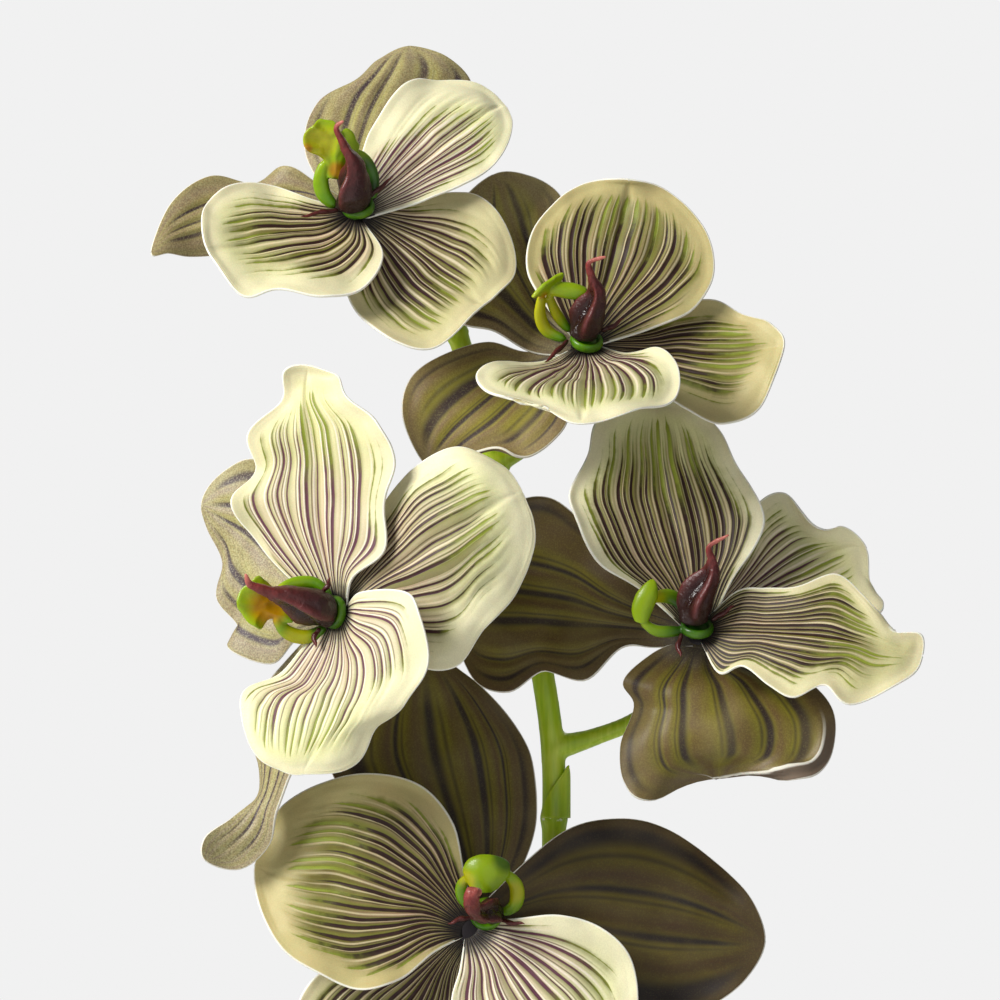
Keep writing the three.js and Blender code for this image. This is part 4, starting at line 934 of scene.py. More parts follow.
def add_heart(skin, facing, layer, tone):
    """A flattened ball where the blades of a whorl meet."""
    outward = unit(world(facing))
    size = (HEART_RADIUS, HEART_HALF_THICKNESS, HEART_TURNS, HEART_SIDES)
    rings = disc_rings(outward * layer, outward, *size)
    base = np.linalg.norm(rings, axis=-1)
    striped = dict(phase=0.5, crowding=1, reach=0, across=0, margin=3, inner=3, turned=0)
    add_rings(skin, rings, base=base, side=1, tone=tone, shade=0.5, **striped)


def stripe_phase(blade, u, v, seed):
    """Counts the stripes across a blade: each whole number is a gap and each half is a stripe."""
    fan = v * (1 - blade["spread"] * u**2)
    sway_at = np.stack([fan * 1.3, u * 2.6], axis=-1)
    wobble_at = np.stack([fan * 4.0, u * 9.0], axis=-1)
    sway = SWAY * smooth_noise(sway_at, 1, seed) + WOBBLE * smooth_noise(wobble_at, 1, seed + 0.5)
    settle = soft_step(u, 0.05, 0.4) * blade["stripes"]
    phase = blade["stripes"] * (fan + 1) / 2 + sway * settle * blade["sway"] + STRIPE_SEED_STEP * seed
    broad = BROAD_UNEVENNESS * np.sin(2.3 * phase + seed)
    return phase + broad + FINE_UNEVENNESS * np.sin(3.9 * phase + 2 * seed)


def stripe_density(phase, middle):
    """How many stripes there are to a millimetre across the blade."""
    width = np.linalg.norm(np.gradient(middle, axis=1), axis=-1)
    return np.gradient(phase, axis=1) / np.maximum(width, 0.01)


def bare_share(blade, u, v, margin):
    """How far inside its unstriped border a point is: 0 at the margin and 1 where the border ends."""
    left, tip, right = blade["bare"]
    sides = left + (right - left) * soft_step(v, -0.7, 0.7)
    width = sides + (tip - sides) * soft_step(u, 0.6, 1.0) * (1 - 0.5 * np.abs(v))
    return margin / (width * (0.12 + 0.88 * soft_step(u, 0.08, 0.5)))


def petal_relief(middle, u, v, phase, margin, seed):
    """Pleats that follow the stripes, a grooved midrib, a ruffled margin and a slightly curled rim."""
    free = soft_step(margin, 2.5, 9) * soft_step(u, 0.03, 0.25)
    calm = 1 - soft_step(u, 0.6, 0.88)
    pleats = PLEAT_DEPTH * np.cos(2 * math.pi * phase)
    pleats += BROAD_PLEAT_DEPTH * np.cos(0.62 * math.pi * phase + 1.3 * seed)
    groove = -GROOVE_DEPTH * np.exp(-((v / 0.07) ** 2)) * soft_step(u, 0.02, 0.2) * (1 - soft_step(u, 0.7, 1))
    ruffle = RUFFLE * smooth_noise(middle, 13, seed + 0.3) * (1 - soft_step(margin, 0, 10))
    curl = RIM_CURL * (1 - soft_step(margin, 0, 2.2))
    uneven = UNEVENNESS * smooth_noise(middle, 10, seed) + 0.2 * smooth_noise(middle, 4, seed)
    return pleats * free * calm + groove + (ruffle + curl + uneven) * soft_step(u, 0.1, 0.4)


def sepal_relief(middle, u, v, phase, margin, seed):
    """Broad soft ribs along the dark stripes and a gently ruffled margin."""
    free = soft_step(margin, 0.3, 6) * soft_step(u, 0.03, 0.25)
    ribs = -SEPAL_RIB_HEIGHT * np.cos(2 * math.pi * (phase - 0.5)) * (1 - soft_step(u, 0.7, 1))
    ruffle = SEPAL_RUFFLE * smooth_noise(middle, 14, seed + 0.3) * (1 - soft_step(margin, 0, 9))
    uneven = UNEVENNESS * smooth_noise(middle, 12, seed) + 0.1 * smooth_noise(middle, 4, seed)
    return ribs * free + (ruffle + uneven) * soft_step(u, 0.1, 0.4)


def whorl(bloom, blades, layer, seed, shape, relief):
    """The blades of one kind and the heart that joins them, as one mesh."""
    facing = bloom["facing"]
    skin = Skin()
    for k, blade in enumerate(blades):
        add_blade(skin, blade, facing, seed + k, shape, relief)
    add_heart(skin, facing, layer, blades[0]["tone"])
    skin.move(heart_of(bloom))
    return skin.mesh("blades")


# Column and lip

COLUMN_RADII = [3.3, 4.4, 2.6, 1.1, 0.65, 0.3]
COLUMN_STEPS = 90
COLUMN_SIDES = 72
LEAST_RADIUS = 0.25
KEEL = 0.05

# Hood: its depth, edge and keel are shares of the column's radius, and its angles are in radians

HOOD_DEPTH = 0.8
HOOD_START = 0.04
HOOD_QUICKNESS = 1.85
HOOD_HALF_ANGLE = 0.75
HOOD_LIP = 0.2
HOOD_LIP_AT = 1.35
HOOD_LIP_WIDTH = 0.2

TENDRIL_HALF_WIDTH = 0.85
TENDRIL_HALF_THICKNESS = 0.6
TENDRIL_WAVE = 0.3
TENDRIL_STEPS = 60
TENDRIL_SIDES = 18

# Lip: the ring's height is a share of its tube's radius, and a thin floor closes it

RING_RADIUS = 3.35
RING_TUBE = 0.8
RING_HEIGHT = 1.5
RING_SIDES = 64
RING_SECTION = 20
RING_FLOOR_HALF = 0.7
RING_FLOOR_DROP = 0.3
RING_FLOOR_TURNS = 13
ARM_WIDENING = 1.25
ARM_HALF_THICKNESS = 0.95
ARM_STEPS = 40
ARM_SIDES = 24
CAP_THICKNESS = 1.3
CAP_SCALLOP = 0.09
PLATE_SHAPE = (44, 40)
LIP_VOXEL = 0.24
LIP_ROUNDS = 4


def column_mesh(bloom):
    """The hooded body, hollow on one side, with its hooked tail and two wavy tendrils."""
    skin = Skin()
    line = world(bloom["column"])
    u = np.linspace(0, 1, COLUMN_STEPS + 1)
    here, heading = along(line, u), heading_at(line, u)
    opening = world(bloom["opening"])
    opening = unit(opening - heading * dot(heading, opening))
    side = np.cross(heading, opening)
    radii = bloom.get("radii", COLUMN_RADII)
    radius = np.maximum(along([[r, 0, 0] for r in radii], u)[:, 0], LEAST_RADIUS)
    radius *= np.sqrt(soft_step(1 - u, -0.02, 0.03)) * np.sqrt(soft_step(u, -0.02, 0.04))
    angles = full_turn(COLUMN_SIDES)
    away = np.minimum(angles, 2 * math.pi - angles)
    depth = np.sin(math.pi * np.clip(HOOD_QUICKNESS * (u - HOOD_START), 0, 1))[:, None]
    hollow = HOOD_DEPTH * np.exp(-((away / HOOD_HALF_ANGLE) ** 4)) * depth
    edge = HOOD_LIP * np.exp(-(((away - HOOD_LIP_AT * HOOD_HALF_ANGLE) / HOOD_LIP_WIDTH) ** 2)) * depth
    keel = KEEL * np.cos(3 * angles + 0.6) * soft_step(u, 0.05, 0.3)[:, None]
    reach = radius[:, None] * (1 - hollow + edge + keel)
    rings = here[:, None] + reach[..., None] * (
        np.cos(angles)[None, :, None] * opening[:, None] + np.sin(angles)[None, :, None] * side[:, None]
    )
    uneven = 0.3 * smooth_noise(rings, 2.4, 3) + 0.12 * smooth_noise(rings, 0.9, 5)
    rings = rings + unit(rings - here[:, None]) * (uneven * np.minimum(radius, 1)[:, None])[..., None]
    add_rings(skin, rings, reach=u[:, None], hollow=hollow / HOOD_DEPTH, edge=edge / HOOD_LIP)
    for points in bloom["tendrils"]:
        rings, share = tube_rings(wavy(world(points)), tendril_section, TENDRIL_STEPS, TENDRIL_SIDES)
        add_rings(skin, rings, reach=0.3 + 0.3 * share, hollow=0, edge=0)
    skin.move(heart_of(bloom))
    return skin.mesh("column")


def wavy(points):
    """The line with a slight sideways wave that grows towards its end."""
    share = np.linspace(0, 1, 13)
    line, heading = along(points, share), heading_at(points, share)
    sideways = unit(np.cross(heading, (0, 1, 0)))
    return line + sideways * (TENDRIL_WAVE * share * np.sin(9 * share))[:, None]


def tendril_section(share):
    """Half the tendril's width and thickness, knobbly and rounded off at its end."""
    knobs = 0.72 + 0.4 * math.sin(math.pi * share) + 0.08 * math.sin(17 * share)
    end = math.sqrt(max(0.03, 1 - share**3))
    return TENDRIL_HALF_WIDTH * knobs * end, TENDRIL_HALF_THICKNESS * knobs * end


def add_plate(skin, rows, thickness, crumple):
    """A thick plate with a rounded, scalloped edge from rows of [left, rib, right] and a tip."""
    body, tip = world(rows[:-1]), world(rows[-1][0])
    u, v = blade_shares(*PLATE_SHAPE)
    middle = surface_at(body, tip, u, v)
    rib = surface_at(body, tip, u, np.zeros_like(v))
    scallop = CAP_SCALLOP * crumple * np.sin(23 * u + np.sign(v)) * np.abs(v)
    middle = rib + (middle - rib) * (1 + scallop)[..., None]
    normal = front_normals(body, tip, u, v)
    creases = 0.9 - 2.4 * np.abs(smooth_noise(middle, 6, 8)) + 0.35 * smooth_noise(middle, 2.4, 2)
    middle = middle + normal * (crumple * creases)[..., None]
    thin = np.sqrt(np.clip(1 - np.abs(v) ** 6, 0.04, 1)) * np.sqrt(np.clip(1 - u**8, 0.04, 1))
    add_sheet(skin, middle, normal * (thickness / 2 * thin)[..., None])


def add_ring(skin, centre, axis):
    """The green ring, a shallow cup that hugs the column's foot."""
    circle = circle_about(axis, RING_SIDES)
    angles = full_turn(RING_SECTION)
    tube = RING_TUBE * np.cos(angles)[None, :, None] * circle[:, None]
    tube = tube + RING_TUBE * RING_HEIGHT * np.sin(angles)[None, :, None] * axis
    rings = centre + RING_RADIUS * circle[:, None] + tube
    skin.add(np.concatenate([rings, rings[:1]]), ring_faces(RING_SIDES + 1, RING_SECTION))
    low = centre - axis * RING_FLOOR_DROP
    add_rings(skin, disc_rings(low, axis, RING_RADIUS, RING_FLOOR_HALF, RING_FLOOR_TURNS, RING_SIDES))


def lip_mesh(bloom):
    """Ring, arms and cap grown into one waxy body."""
    skin = Skin()
    axis = unit(world(bloom["column"][1]) - world(bloom["column"][0]))
    add_ring(skin, world(bloom["ring"]), axis)
    for arm in bloom["arms"]:
        points = world(arm["line"])
        broad = np.cross(points[-1] - points[0], (0, 1, 0))
        half = arm["half"] * ARM_WIDENING

        def section(share):
            end = math.sqrt(min(1, 0.3 + 9 * share) * min(1, 0.3 + 9 * (1 - share)))
            return half * (0.6 + 0.4 * math.sin(math.pi * share)) * end, ARM_HALF_THICKNESS * end

        rings, _ = tube_rings(points, section, ARM_STEPS, ARM_SIDES, broad)
        add_rings(skin, rings)
    for rows in (bloom["cap"], *bloom.get("flaps", [])):
        add_plate(skin, rows, CAP_THICKNESS, bloom["crumple"])
    heart = heart_of(bloom)
    skin.move(heart)
    mesh = fused(skin.mesh("lip"), LIP_VOXEL, LIP_ROUNDS)
    points = mesh_points(mesh) - heart
    patches = {colour: np.zeros(len(points)) for colour in ("yellow", "orange", "dark")}
    for colour, centre, radius in bloom["patches"]:
        near = 1 - soft_step(np.linalg.norm(points - world(centre), axis=1), radius * 0.4, radius)
        patches[colour] = np.maximum(patches[colour], near)
    set_values(mesh, foot=np.linalg.norm(points, axis=1), **patches)
    return mesh


# Stem

STEM_STEPS = 420
STEM_SIDES = 40
STALK_STEPS = 60
STALK_SIDES = 28
STALK_ROOT_FLARE = 1.0
STALK_END_FLARE = 0.4
STEM_VOXEL = 0.62
STEM_ROUNDS = 6
FAR_FROM_JOINTS = 9

# Bracts: how far round the stem each one points, in degrees, and their rows as shares of their height, half
# of the angle they wrap and how far they stand off

BRACT_TURNS = [200, 20, 150, -30]
BRACT_ROWS = [(0, 115, 0.1), (0.3, 100, 0.3), (0.6, 66, 0.35), (0.85, 28, 0.6)]
BRACT_TIP_LIFT = 1.2
BRACT_HEIGHT = 13
BRACT_THICKNESS = 0.55
BRACT_SHAPE = (28, 40)
BRACT_CLEARANCE = 0.15
PAST_JOINT = 0.02


def stem_radius(u):
    """The stem's radius, with a ridge at each joint."""
    swelling = sum(math.exp(-(((u - at) / JOINT_REACH) ** 2)) for at in JOINTS)
    return STEM_RADIUS * (STEM_FOOT_SCALE - STEM_TAPER * u) + JOINT_HEIGHT * swelling


def stem_mesh():
    """The main axis and its stalks grown into one body."""
    skin = Skin()
    rings, _ = tube_rings(STEM_LINE, lambda u: (stem_radius(u), stem_radius(u)), STEM_STEPS, STEM_SIDES)
    add_rings(skin, rings)
    for bloom in BLOOMS.values():
        outward = unit(world(bloom["facing"]))
        end = heart_of(bloom) + outward * STALK_LAYER
        points = [*bloom["stalk"], end - outward * STALK_STRAIGHT_END, end]

        def section(u):
            flare = STALK_ROOT_FLARE * math.exp(-((u / 0.14) ** 2))
            flare += STALK_END_FLARE * math.exp(-(((1 - u) / 0.12) ** 2))
            return STALK_RADIUS + flare, STALK_RADIUS + flare

        rings, _ = tube_rings(points, section, STALK_STEPS, STALK_SIDES)
        add_rings(skin, rings)
    mesh = fused(skin.mesh("stem"), STEM_VOXEL, STEM_ROUNDS)
    points = mesh_points(mesh)
    line = np.array(STEM_LINE, dtype=float)
    joints = along(line, np.array(JOINTS))[:, 2]
    near = np.min(np.abs(points[:, 2][:, None] - joints), axis=1)
    beside = np.interp(points[:, 2], line[:, 2], line[:, 0])
    near[np.abs(points[:, 0] - beside) > 2 * STEM_RADIUS] = FAR_FROM_JOINTS
    set_values(mesh, joint=near)
    return mesh


def add_bract(skin, at, turn):
    """One bract at a share of the stem's line, turned round it by an angle in degrees."""
    line = np.array(STEM_LINE, dtype=float)
    here = along(line, np.array([at]))[0]
    heading = heading_at(line, np.array([at]))[0]
    side = unit(np.cross(heading, (0, 1, 0)))
    front = np.cross(side, heading)

    def off_stem(share, degrees, lift):
        angle = math.radians(degrees)
        out = side * math.cos(angle) - front * math.sin(angle)
        return here + heading * BRACT_HEIGHT * share + out * (stem_radius(at + PAST_JOINT) + lift)

    rows = [
        [off_stem(share, turn + aside, lift) for aside in (-half_angle, 0, half_angle)]
        for share, half_angle, lift in BRACT_ROWS
    ]
    tip = off_stem(1, turn, BRACT_TIP_LIFT)
    u, v = blade_shares(*BRACT_SHAPE)
    middle = wrapped(np.array(rows), tip, u, v, here, heading)
    normal = unit(np.cross(np.gradient(middle, axis=1), np.gradient(middle, axis=0)))
    thin = 0.25 + 0.75 * np.sqrt(np.clip(1 - np.abs(v) ** 4, 0, 1)) * (1 - 0.5 * u)
    add_sheet(skin, middle, normal * (BRACT_THICKNESS / 2 * thin)[..., None])


def bracts_mesh():
    """The small scales that hug the stem above its joints, each with a free pointed tip."""
    skin = Skin()
    for at, turn in zip(JOINTS, BRACT_TURNS):
        add_bract(skin, at, turn)
    mesh = skin.mesh("bracts")
    set_values(mesh, joint=np.full(len(mesh.vertices), float(FAR_FROM_JOINTS)))
    return mesh


def wrapped(rows, tip, u, v, here, heading):
    """The surface of the rows, pushed out so that it goes round the stem and not through it."""
    flat = surface_at(rows, tip, u, v)
    axis = here + heading * dot(flat - here, heading)
    out = flat - axis
    rib = surface_at(rows, tip, u, np.zeros_like(v))
    rib_axis = here + heading * dot(rib - here, heading)
    reach = np.linalg.norm(rib - rib_axis, axis=-1, keepdims=True)
    least = stem_radius(JOINTS[0]) + BRACT_CLEARANCE
    near = np.maximum(reach - 0.25 * np.abs(v)[..., None], least)
    return axis + unit(out) * near


# Vase and water

TURNED_SIDES = 128
PROFILE_STEPS = 150
WHEEL_MARK_DEPTH = 0.09
VASE_FOOT = [[0, 0.6], [24.5, 0.6], [25.5, 0.1], [27, 0], [28.6, 0.3], [29.6, 1.4], [30.6, 4]]


def vase_inside():
    """The inner wall, as [radius, height] from the floor of the vase to its neck."""
    return [[radius - VASE_WALL, height] for radius, height in VASE_OUTSIDE[3:-3]]


def turned(profile):
    """A closed body of revolution from a closed outline whose ends lie on the axis."""
    profile = np.array(profile)
    angles = full_turn(TURNED_SIDES)
    circle = np.stack([np.cos(angles), np.sin(angles), np.zeros_like(angles)], axis=-1)
    up = np.array([0, 0, 1])
    rings = np.maximum(profile[:, 0], 0)[:, None, None] * circle + profile[:, 1][:, None, None] * up
    skin = Skin()
    add_rings(skin, rings)
    return skin


def smooth_profile(points, steps):
    """Many [radius, height] points on a smooth line through the few that are given."""
    line = along([[radius, 0, height] for radius, height in points], np.linspace(0, 1, steps))
    return line[:, [0, 2]].tolist()


def vase_mesh():
    """The bottle, with faint rings from the wheel on its outside."""
    outside = smooth_profile(VASE_OUTSIDE[3:], PROFILE_STEPS)
    outside = [[r + WHEEL_MARK_DEPTH * math.sin(1.9 * z) * math.sin(0.13 * z), z] for r, z in outside]
    inside = smooth_profile(vase_inside()[::-1], PROFILE_STEPS // 2)
    floor = [[FLOOR_RADIUS, VASE_FLOOR], [0, VASE_FLOOR]]
    return turned([*VASE_FOOT, *outside, *VASE_MOUTH, *inside, *floor]).mesh("vase")


def water_mesh():
    """The water, with a raised edge where it meets the wall."""
    floor = VASE_FLOOR + CLEARANCE
    wall = [[r - 2 * CLEARANCE, z] for r, z in vase_inside() if floor < z <= WATER_LEVEL - 4]
    rim = wall_radius(WATER_LEVEL) - 2 * CLEARANCE
    top = [[rim, WATER_LEVEL], [rim - 0.5, WATER_LEVEL - 0.6], [rim - 2, WATER_LEVEL - 1]]
    middle = [[5, WATER_LEVEL - 1], [0, WATER_LEVEL - 1]]
    return turned([[0, floor], [FLOOR_RADIUS - 2, floor], *wall, *top, *middle]).mesh("water")


def wall_radius(height):
    """The radius of the vase's inner wall at a height."""
    inside = np.array(vase_inside())
    return float(np.interp(height, inside[:, 1], inside[:, 0]))


# Materials


def paint(red, green, blue):
    """A colour given as seen on a screen, from 0 to 255, as the renderer's linear colour."""
    linear = []
    for level in (red, green, blue):
        share = level / 255
        linear.append(share / 12.92 if share <= 0.04045 else ((share + 0.055) / 1.055) ** 2.4)
    return (*linear, 1)


class Field:
    """A number or colour that varies over a surface. Sums and products of fields are fields too."""

    def __init__(self, look, socket):
        self.look = look
        self.socket = socket

    def __add__(self, other):
        return self.look.math("ADD", self, other)

    def __sub__(self, other):
        return self.look.math("SUBTRACT", self, other)

    def __rsub__(self, other):
        return self.look.math("SUBTRACT", other, self)

    def __mul__(self, other):
        return self.look.math("MULTIPLY", self, other)

    def __abs__(self):
        return self.look.math("ABSOLUTE", self)

    def least(self, other):
        return self.look.math("MINIMUM", self, other)

    def most(self, other):
        return self.look.math("MAXIMUM", self, other)

    def rise(self, start, end, low=0.0, high=1.0):
        """Goes smoothly from low to high as the field goes from start to end."""
        node = self.look.new("ShaderNodeMapRange")
        node.interpolation_type = "SMOOTHSTEP"
        for socket, setting in zip(node.inputs, (self, start, end, low, high)):
            self.look.put(socket, setting)
        return Field(self.look, node.outputs[0])

    def fall(self, start, end):
        """Goes smoothly from 1 to 0 as the field goes from start to end."""
        return 1.0 - self.rise(start, end)


class Look:
    """A material in the making. A plain number or colour may stand wherever a field may."""

    def __init__(self, name, roughness, **settings):
        self.material = bpy.data.materials.new(name)
        self.material.use_nodes = True
        self.tree = self.material.node_tree
        self.shader = self.tree.nodes["Principled BSDF"]
        self.shader.inputs["Roughness"].default_value = roughness
        for socket, value in settings.items():
            self.shader.inputs[socket.replace("_", " ")].default_value = value
        self.place = self.new("ShaderNodeTexCoord").outputs["Object"]

    def new(self, kind):
        return self.tree.nodes.new(kind)

    def put(self, socket, value):
        if isinstance(value, Field):
            value = value.socket
        if isinstance(value, bpy.types.NodeSocket):
            self.tree.links.new(value, socket)
        else:
            socket.default_value = value

    def math(self, operation, *operands):
        node = self.new("ShaderNodeMath")
        node.operation = operation
        for socket, value in zip(node.inputs, operands):
            self.put(socket, value)
        return Field(self, node.outputs[0])

    def mix(self, share, under, over, blend="MIX"):
        """The colour over, laid on the colour under by a share from 0 to 1."""
        node = self.new("ShaderNodeMix")
        node.data_type = "RGBA"
        node.blend_type = blend
        for index, value in ((0, share), (6, under), (7, over)):
            self.put(node.inputs[index], value)
        return Field(self, node.outputs[2])

    def ramp(self, place, stops):
        """A colour from stops of (place, colour), with smooth passages between them."""
        node = self.new("ShaderNodeValToRGB")
        ramp = node.color_ramp
        while len(ramp.elements) < len(stops):
            ramp.elements.new(0.5)
        for element, (position, colour) in zip(ramp.elements, stops):
            element.position = position
            element.color = colour
        self.put(node.inputs[0], place)
        return Field(self, node.outputs[0])

    def value(self, name):
        """The value that the mesh carries under this name."""
        node = self.new("ShaderNodeAttribute")
        node.attribute_name = name
        return Field(self, node.outputs["Fac"])

    def values(self, *names):
        return [self.value(name) for name in names]

    def noise(self, size, detail, place=None):
        """Soft random values from 0 to 1, with bumps about size millimetres across."""
        node = self.new("ShaderNodeTexNoise")
        node.inputs["Scale"].default_value = 1 / (size * MM)
        node.inputs["Detail"].default_value = detail
        self.put(node.inputs["Vector"], self.place if place is None else place)
        return Field(self, node.outputs[0])

    def random(self, number):
        """A random value from 0 to 1, the same for the same number."""
        node = self.new("ShaderNodeTexWhiteNoise")
        node.noise_dimensions = "1D"
        self.put(node.inputs["W"], number)
        return Field(self, node.outputs[0])

    def finish(self, colour, relief=None, depth=0.0, strength=0.0):
        """The finished material. relief is a bump of the given depth in millimetres."""
        self.put(self.shader.inputs["Base Color"], colour)
        if relief is not None:
            node = self.new("ShaderNodeBump")
            node.inputs["Strength"].default_value = strength
            node.inputs["Distance"].default_value = depth * MM
            self.put(node.inputs["Height"], relief)
            self.put(self.shader.inputs["Normal"], node.outputs[0])
        return self.material


def stripe_parts(look):
    """The stripe count, the stripe's number, its signed distance from the centre line and the plain one."""
    phase = look.value("phase")
    signed = look.math("FRACT", phase) - 0.5
    return phase, look.math("FLOOR", phase), signed, abs(signed)


CREAM = paint(222, 214, 180)
WARM_CREAM = paint(226, 222, 178)
YELLOW_GREEN = paint(206, 212, 128)
SHADED_TAN = paint(184, 164, 112)
SHADED_WARM_TAN = paint(188, 180, 122)
PETAL_OLIVE = paint(116, 114, 44)
PETAL_BROWN = paint(86, 66, 34)
BLUSH = paint(190, 146, 132)
HALO_OLIVE = paint(116, 116, 44)
WHITE_RIDGE = paint(240, 228, 212)
TAN_RIDGE = paint(222, 206, 166)
PLUM = paint(98, 54, 70)
DARK_PLUM = paint(44, 20, 14)
STRIPE_BROWN = paint(70, 62, 22)
STRIPE_GREEN = paint(132, 142, 44)
STRIPE_ROOT = paint(38, 26, 28)
THIN_LINE = paint(104, 96, 56)
HEART_PAINTED_SHADE = paint(22, 16, 20)
PETAL_RIM_HIGHLIGHT = paint(244, 242, 230)
PETAL_GRAIN = paint(120, 112, 84)


def petal_stripes(look, inner, ragged, patch):
    """How strong the stripes are, and the parts of them that the petal's ground is painted by."""
    phase, number, signed, away = stripe_parts(look)
    reach, tone, crowding = look.values("reach", "tone", "crowding")
    widths, ends = (look.random(number + shift) for shift in (0.31, 17.7))
    start = ends * 0.6 + 0.35
    last = ends * 0.28 + 0.74 + ragged * 0.1
    shown = inner.rise(start, start + 1.2) * reach.fall(last - 0.34, last)
    half = widths * widths * 0.32 + 0.16 + tone * 0.12 + ragged * 0.16
    width = (half * crowding * shown.rise(0.0, 1.0, 0.12, 1.0)).least(tone * 0.06 + 0.2)
    soft = (crowding * 0.12).least(0.08)
    core = away.fall(width - soft, width + soft)
    stripe = core * shown.rise(0.0, 0.3) * (patch * 0.3 + 0.85)

    thin_chance = look.random(look.math("FLOOR", phase + 0.5) + 91.3).rise(0.2, 0.6)
    thin_line = (0.5 - away).fall(0.0, (crowding * 0.3).least(0.15))
    thin_span = reach.rise(0.08, 0.25) * reach.fall(0.6, 0.85)
    thin = thin_line * thin_chance * thin_span * inner.rise(1.0, 1.9) * 0.85

    lean = signed.most(signed * -2.6)
    halo = lean.fall(width, width + 0.32) * shown.rise(0.0, 0.6) * (tone * 0.25 + 0.55)
    ridge = abs(signed + 0.3).fall(0.02, 0.13) * inner.rise(1.0, 2.0) * reach.fall(0.5, 0.85)
    ridge = ridge * (0.9 - tone * 0.2)

    along_stripe = reach + ends * 0.24 + ragged * 0.2
    greener = along_stripe.rise(0.5, 0.9).most(inner.fall(start, start + 1.7))
    gaps = look.random(number + 53.9)
    return stripe, thin, halo, ridge, greener, core * shown, gaps


def petal_ground(look, inner, gaps, cloud, patch):
    """The petal between its stripes: cream, turned tan partly by its own tint and partly by painted shade,
    olive along its middle and blushed at its root.
    """
    reach, across, tone, shade = look.values("reach", "across", "tone", "shade")
    cream = look.mix(cloud, CREAM, WARM_CREAM)
    ground = look.mix(inner.rise(0.4, 1.4) * reach.rise(0.25, 0.6) * 0.4, cream, YELLOW_GREEN)
    # Painted shade: blades that lie in shadow or turn from the light are turned tan, on top of their own tan
    # tint.
    ground = look.mix(shade * 0.85, ground, look.mix(cloud, SHADED_TAN, SHADED_WARM_TAN))
    centre = abs(across).fall(0.1, 0.95)
    inside = inner.rise(0.7, 2.2) * reach.fall(0.5, 0.92)
    olive = (tone * 0.78 + 0.12) * (centre * 0.5 + 0.5) * inside * (1.25 - gaps * 0.6)
    ground = look.mix(olive, ground, look.mix(patch, PETAL_OLIVE, PETAL_BROWN))
    blush = gaps * reach.fall(0.2, 0.6) * inner.rise(0.8, 2.0) * 0.5
    return look.mix(blush, ground, BLUSH)


def petal_material():
    """Cream to tan, with pleated stripes that turn green and fade before the plain border, painted heart
    shade and rim highlight.
    """
    look = Look("petal", 0.52, Subsurface_Weight=0.06, Subsurface_Scale=0.0015, Specular_IOR_Level=0.3)
    reach, margin, base, side, tone, bare = look.values("reach", "margin", "base", "side", "tone", "inner")
    ragged = look.noise(2.2, 3) - 0.5
    grain, cloud, patch = look.noise(0.3, 1), look.noise(8, 2), look.noise(3.6, 2)
    inner = bare + ragged * 0.6
    stripe, thin, halo, ridge, greener, pleat, gaps = petal_stripes(look, inner, ragged, patch)

    ground = petal_ground(look, inner, gaps, cloud, patch)
    ground = look.mix(halo, ground, HALO_OLIVE)
    ground = look.mix(ridge * (1.0 - halo), ground, look.mix(tone, WHITE_RIDGE, TAN_RIDGE))
    purple = look.mix(tone, PLUM, DARK_PLUM)
    green = look.mix(greener, STRIPE_BROWN, STRIPE_GREEN)
    ink = look.mix(greener.rise(0.1, 0.7), purple, green)
    ink = look.mix(reach.fall(0.0, 0.2), ink, STRIPE_ROOT)
    front = side * 0.7 + 0.3
    colour = look.mix(thin * front, ground, look.mix(0.6, ink, THIN_LINE))
    colour = look.mix((stripe * front).least(1.0), colour, ink)
    # Painted shade: the blades darken towards the heart, where the column and lip overhang them.
    colour = look.mix((base + ragged * 4).fall(3.5, 9.5) * 0.92, colour, HEART_PAINTED_SHADE)
    # A near-white line along the rim: the thin pale edge with a painted highlight where it catches the light.
    colour = look.mix(margin.fall(-0.1, 0.4) * 0.85, colour, PETAL_RIM_HIGHLIGHT)
    colour = look.mix(grain.rise(0.3, 0.7, 0.0, 0.1), colour, PETAL_GRAIN, "MULTIPLY")
    relief = pleat * -0.6 + ridge * 0.4 + (grain * 0.2 + cloud * 0.5)
    return look.finish(colour, relief, 0.2, 0.6)


SEPAL_OLIVE = paint(132, 124, 30)
SEPAL_LIGHT_OLIVE = paint(168, 158, 52)
SEPAL_BROWN = paint(118, 92, 50)
SEPAL_BORDER = paint(124, 102, 66)
SEPAL_SECOND_LINE = paint(78, 66, 38)
SEPAL_STRIPE = paint(50, 32, 42)
SEPAL_SHEEN = paint(186, 170, 118)
SEPAL_ROOT_PAINTED_SHADE = paint(62, 50, 34)
SEPAL_TINT_AND_SHADE = paint(102, 86, 46)
SHEEN_PALE_OLIVE = paint(190, 184, 132)
SHEEN_PALE_BROWN = paint(172, 160, 136)
SHEEN_PALE_STRIPE = paint(64, 46, 66)
DARK_GRAIN = paint(56, 44, 34)
LIGHT_GRAIN = paint(170, 164, 96)
SHEEN_PALE_GRAIN = paint(214, 208, 180)
UNDERSIDE = paint(122, 104, 88)
DARK_UNDERSIDE = paint(96, 82, 66)
SEPAL_RIM_HIGHLIGHT = paint(232, 228, 214)


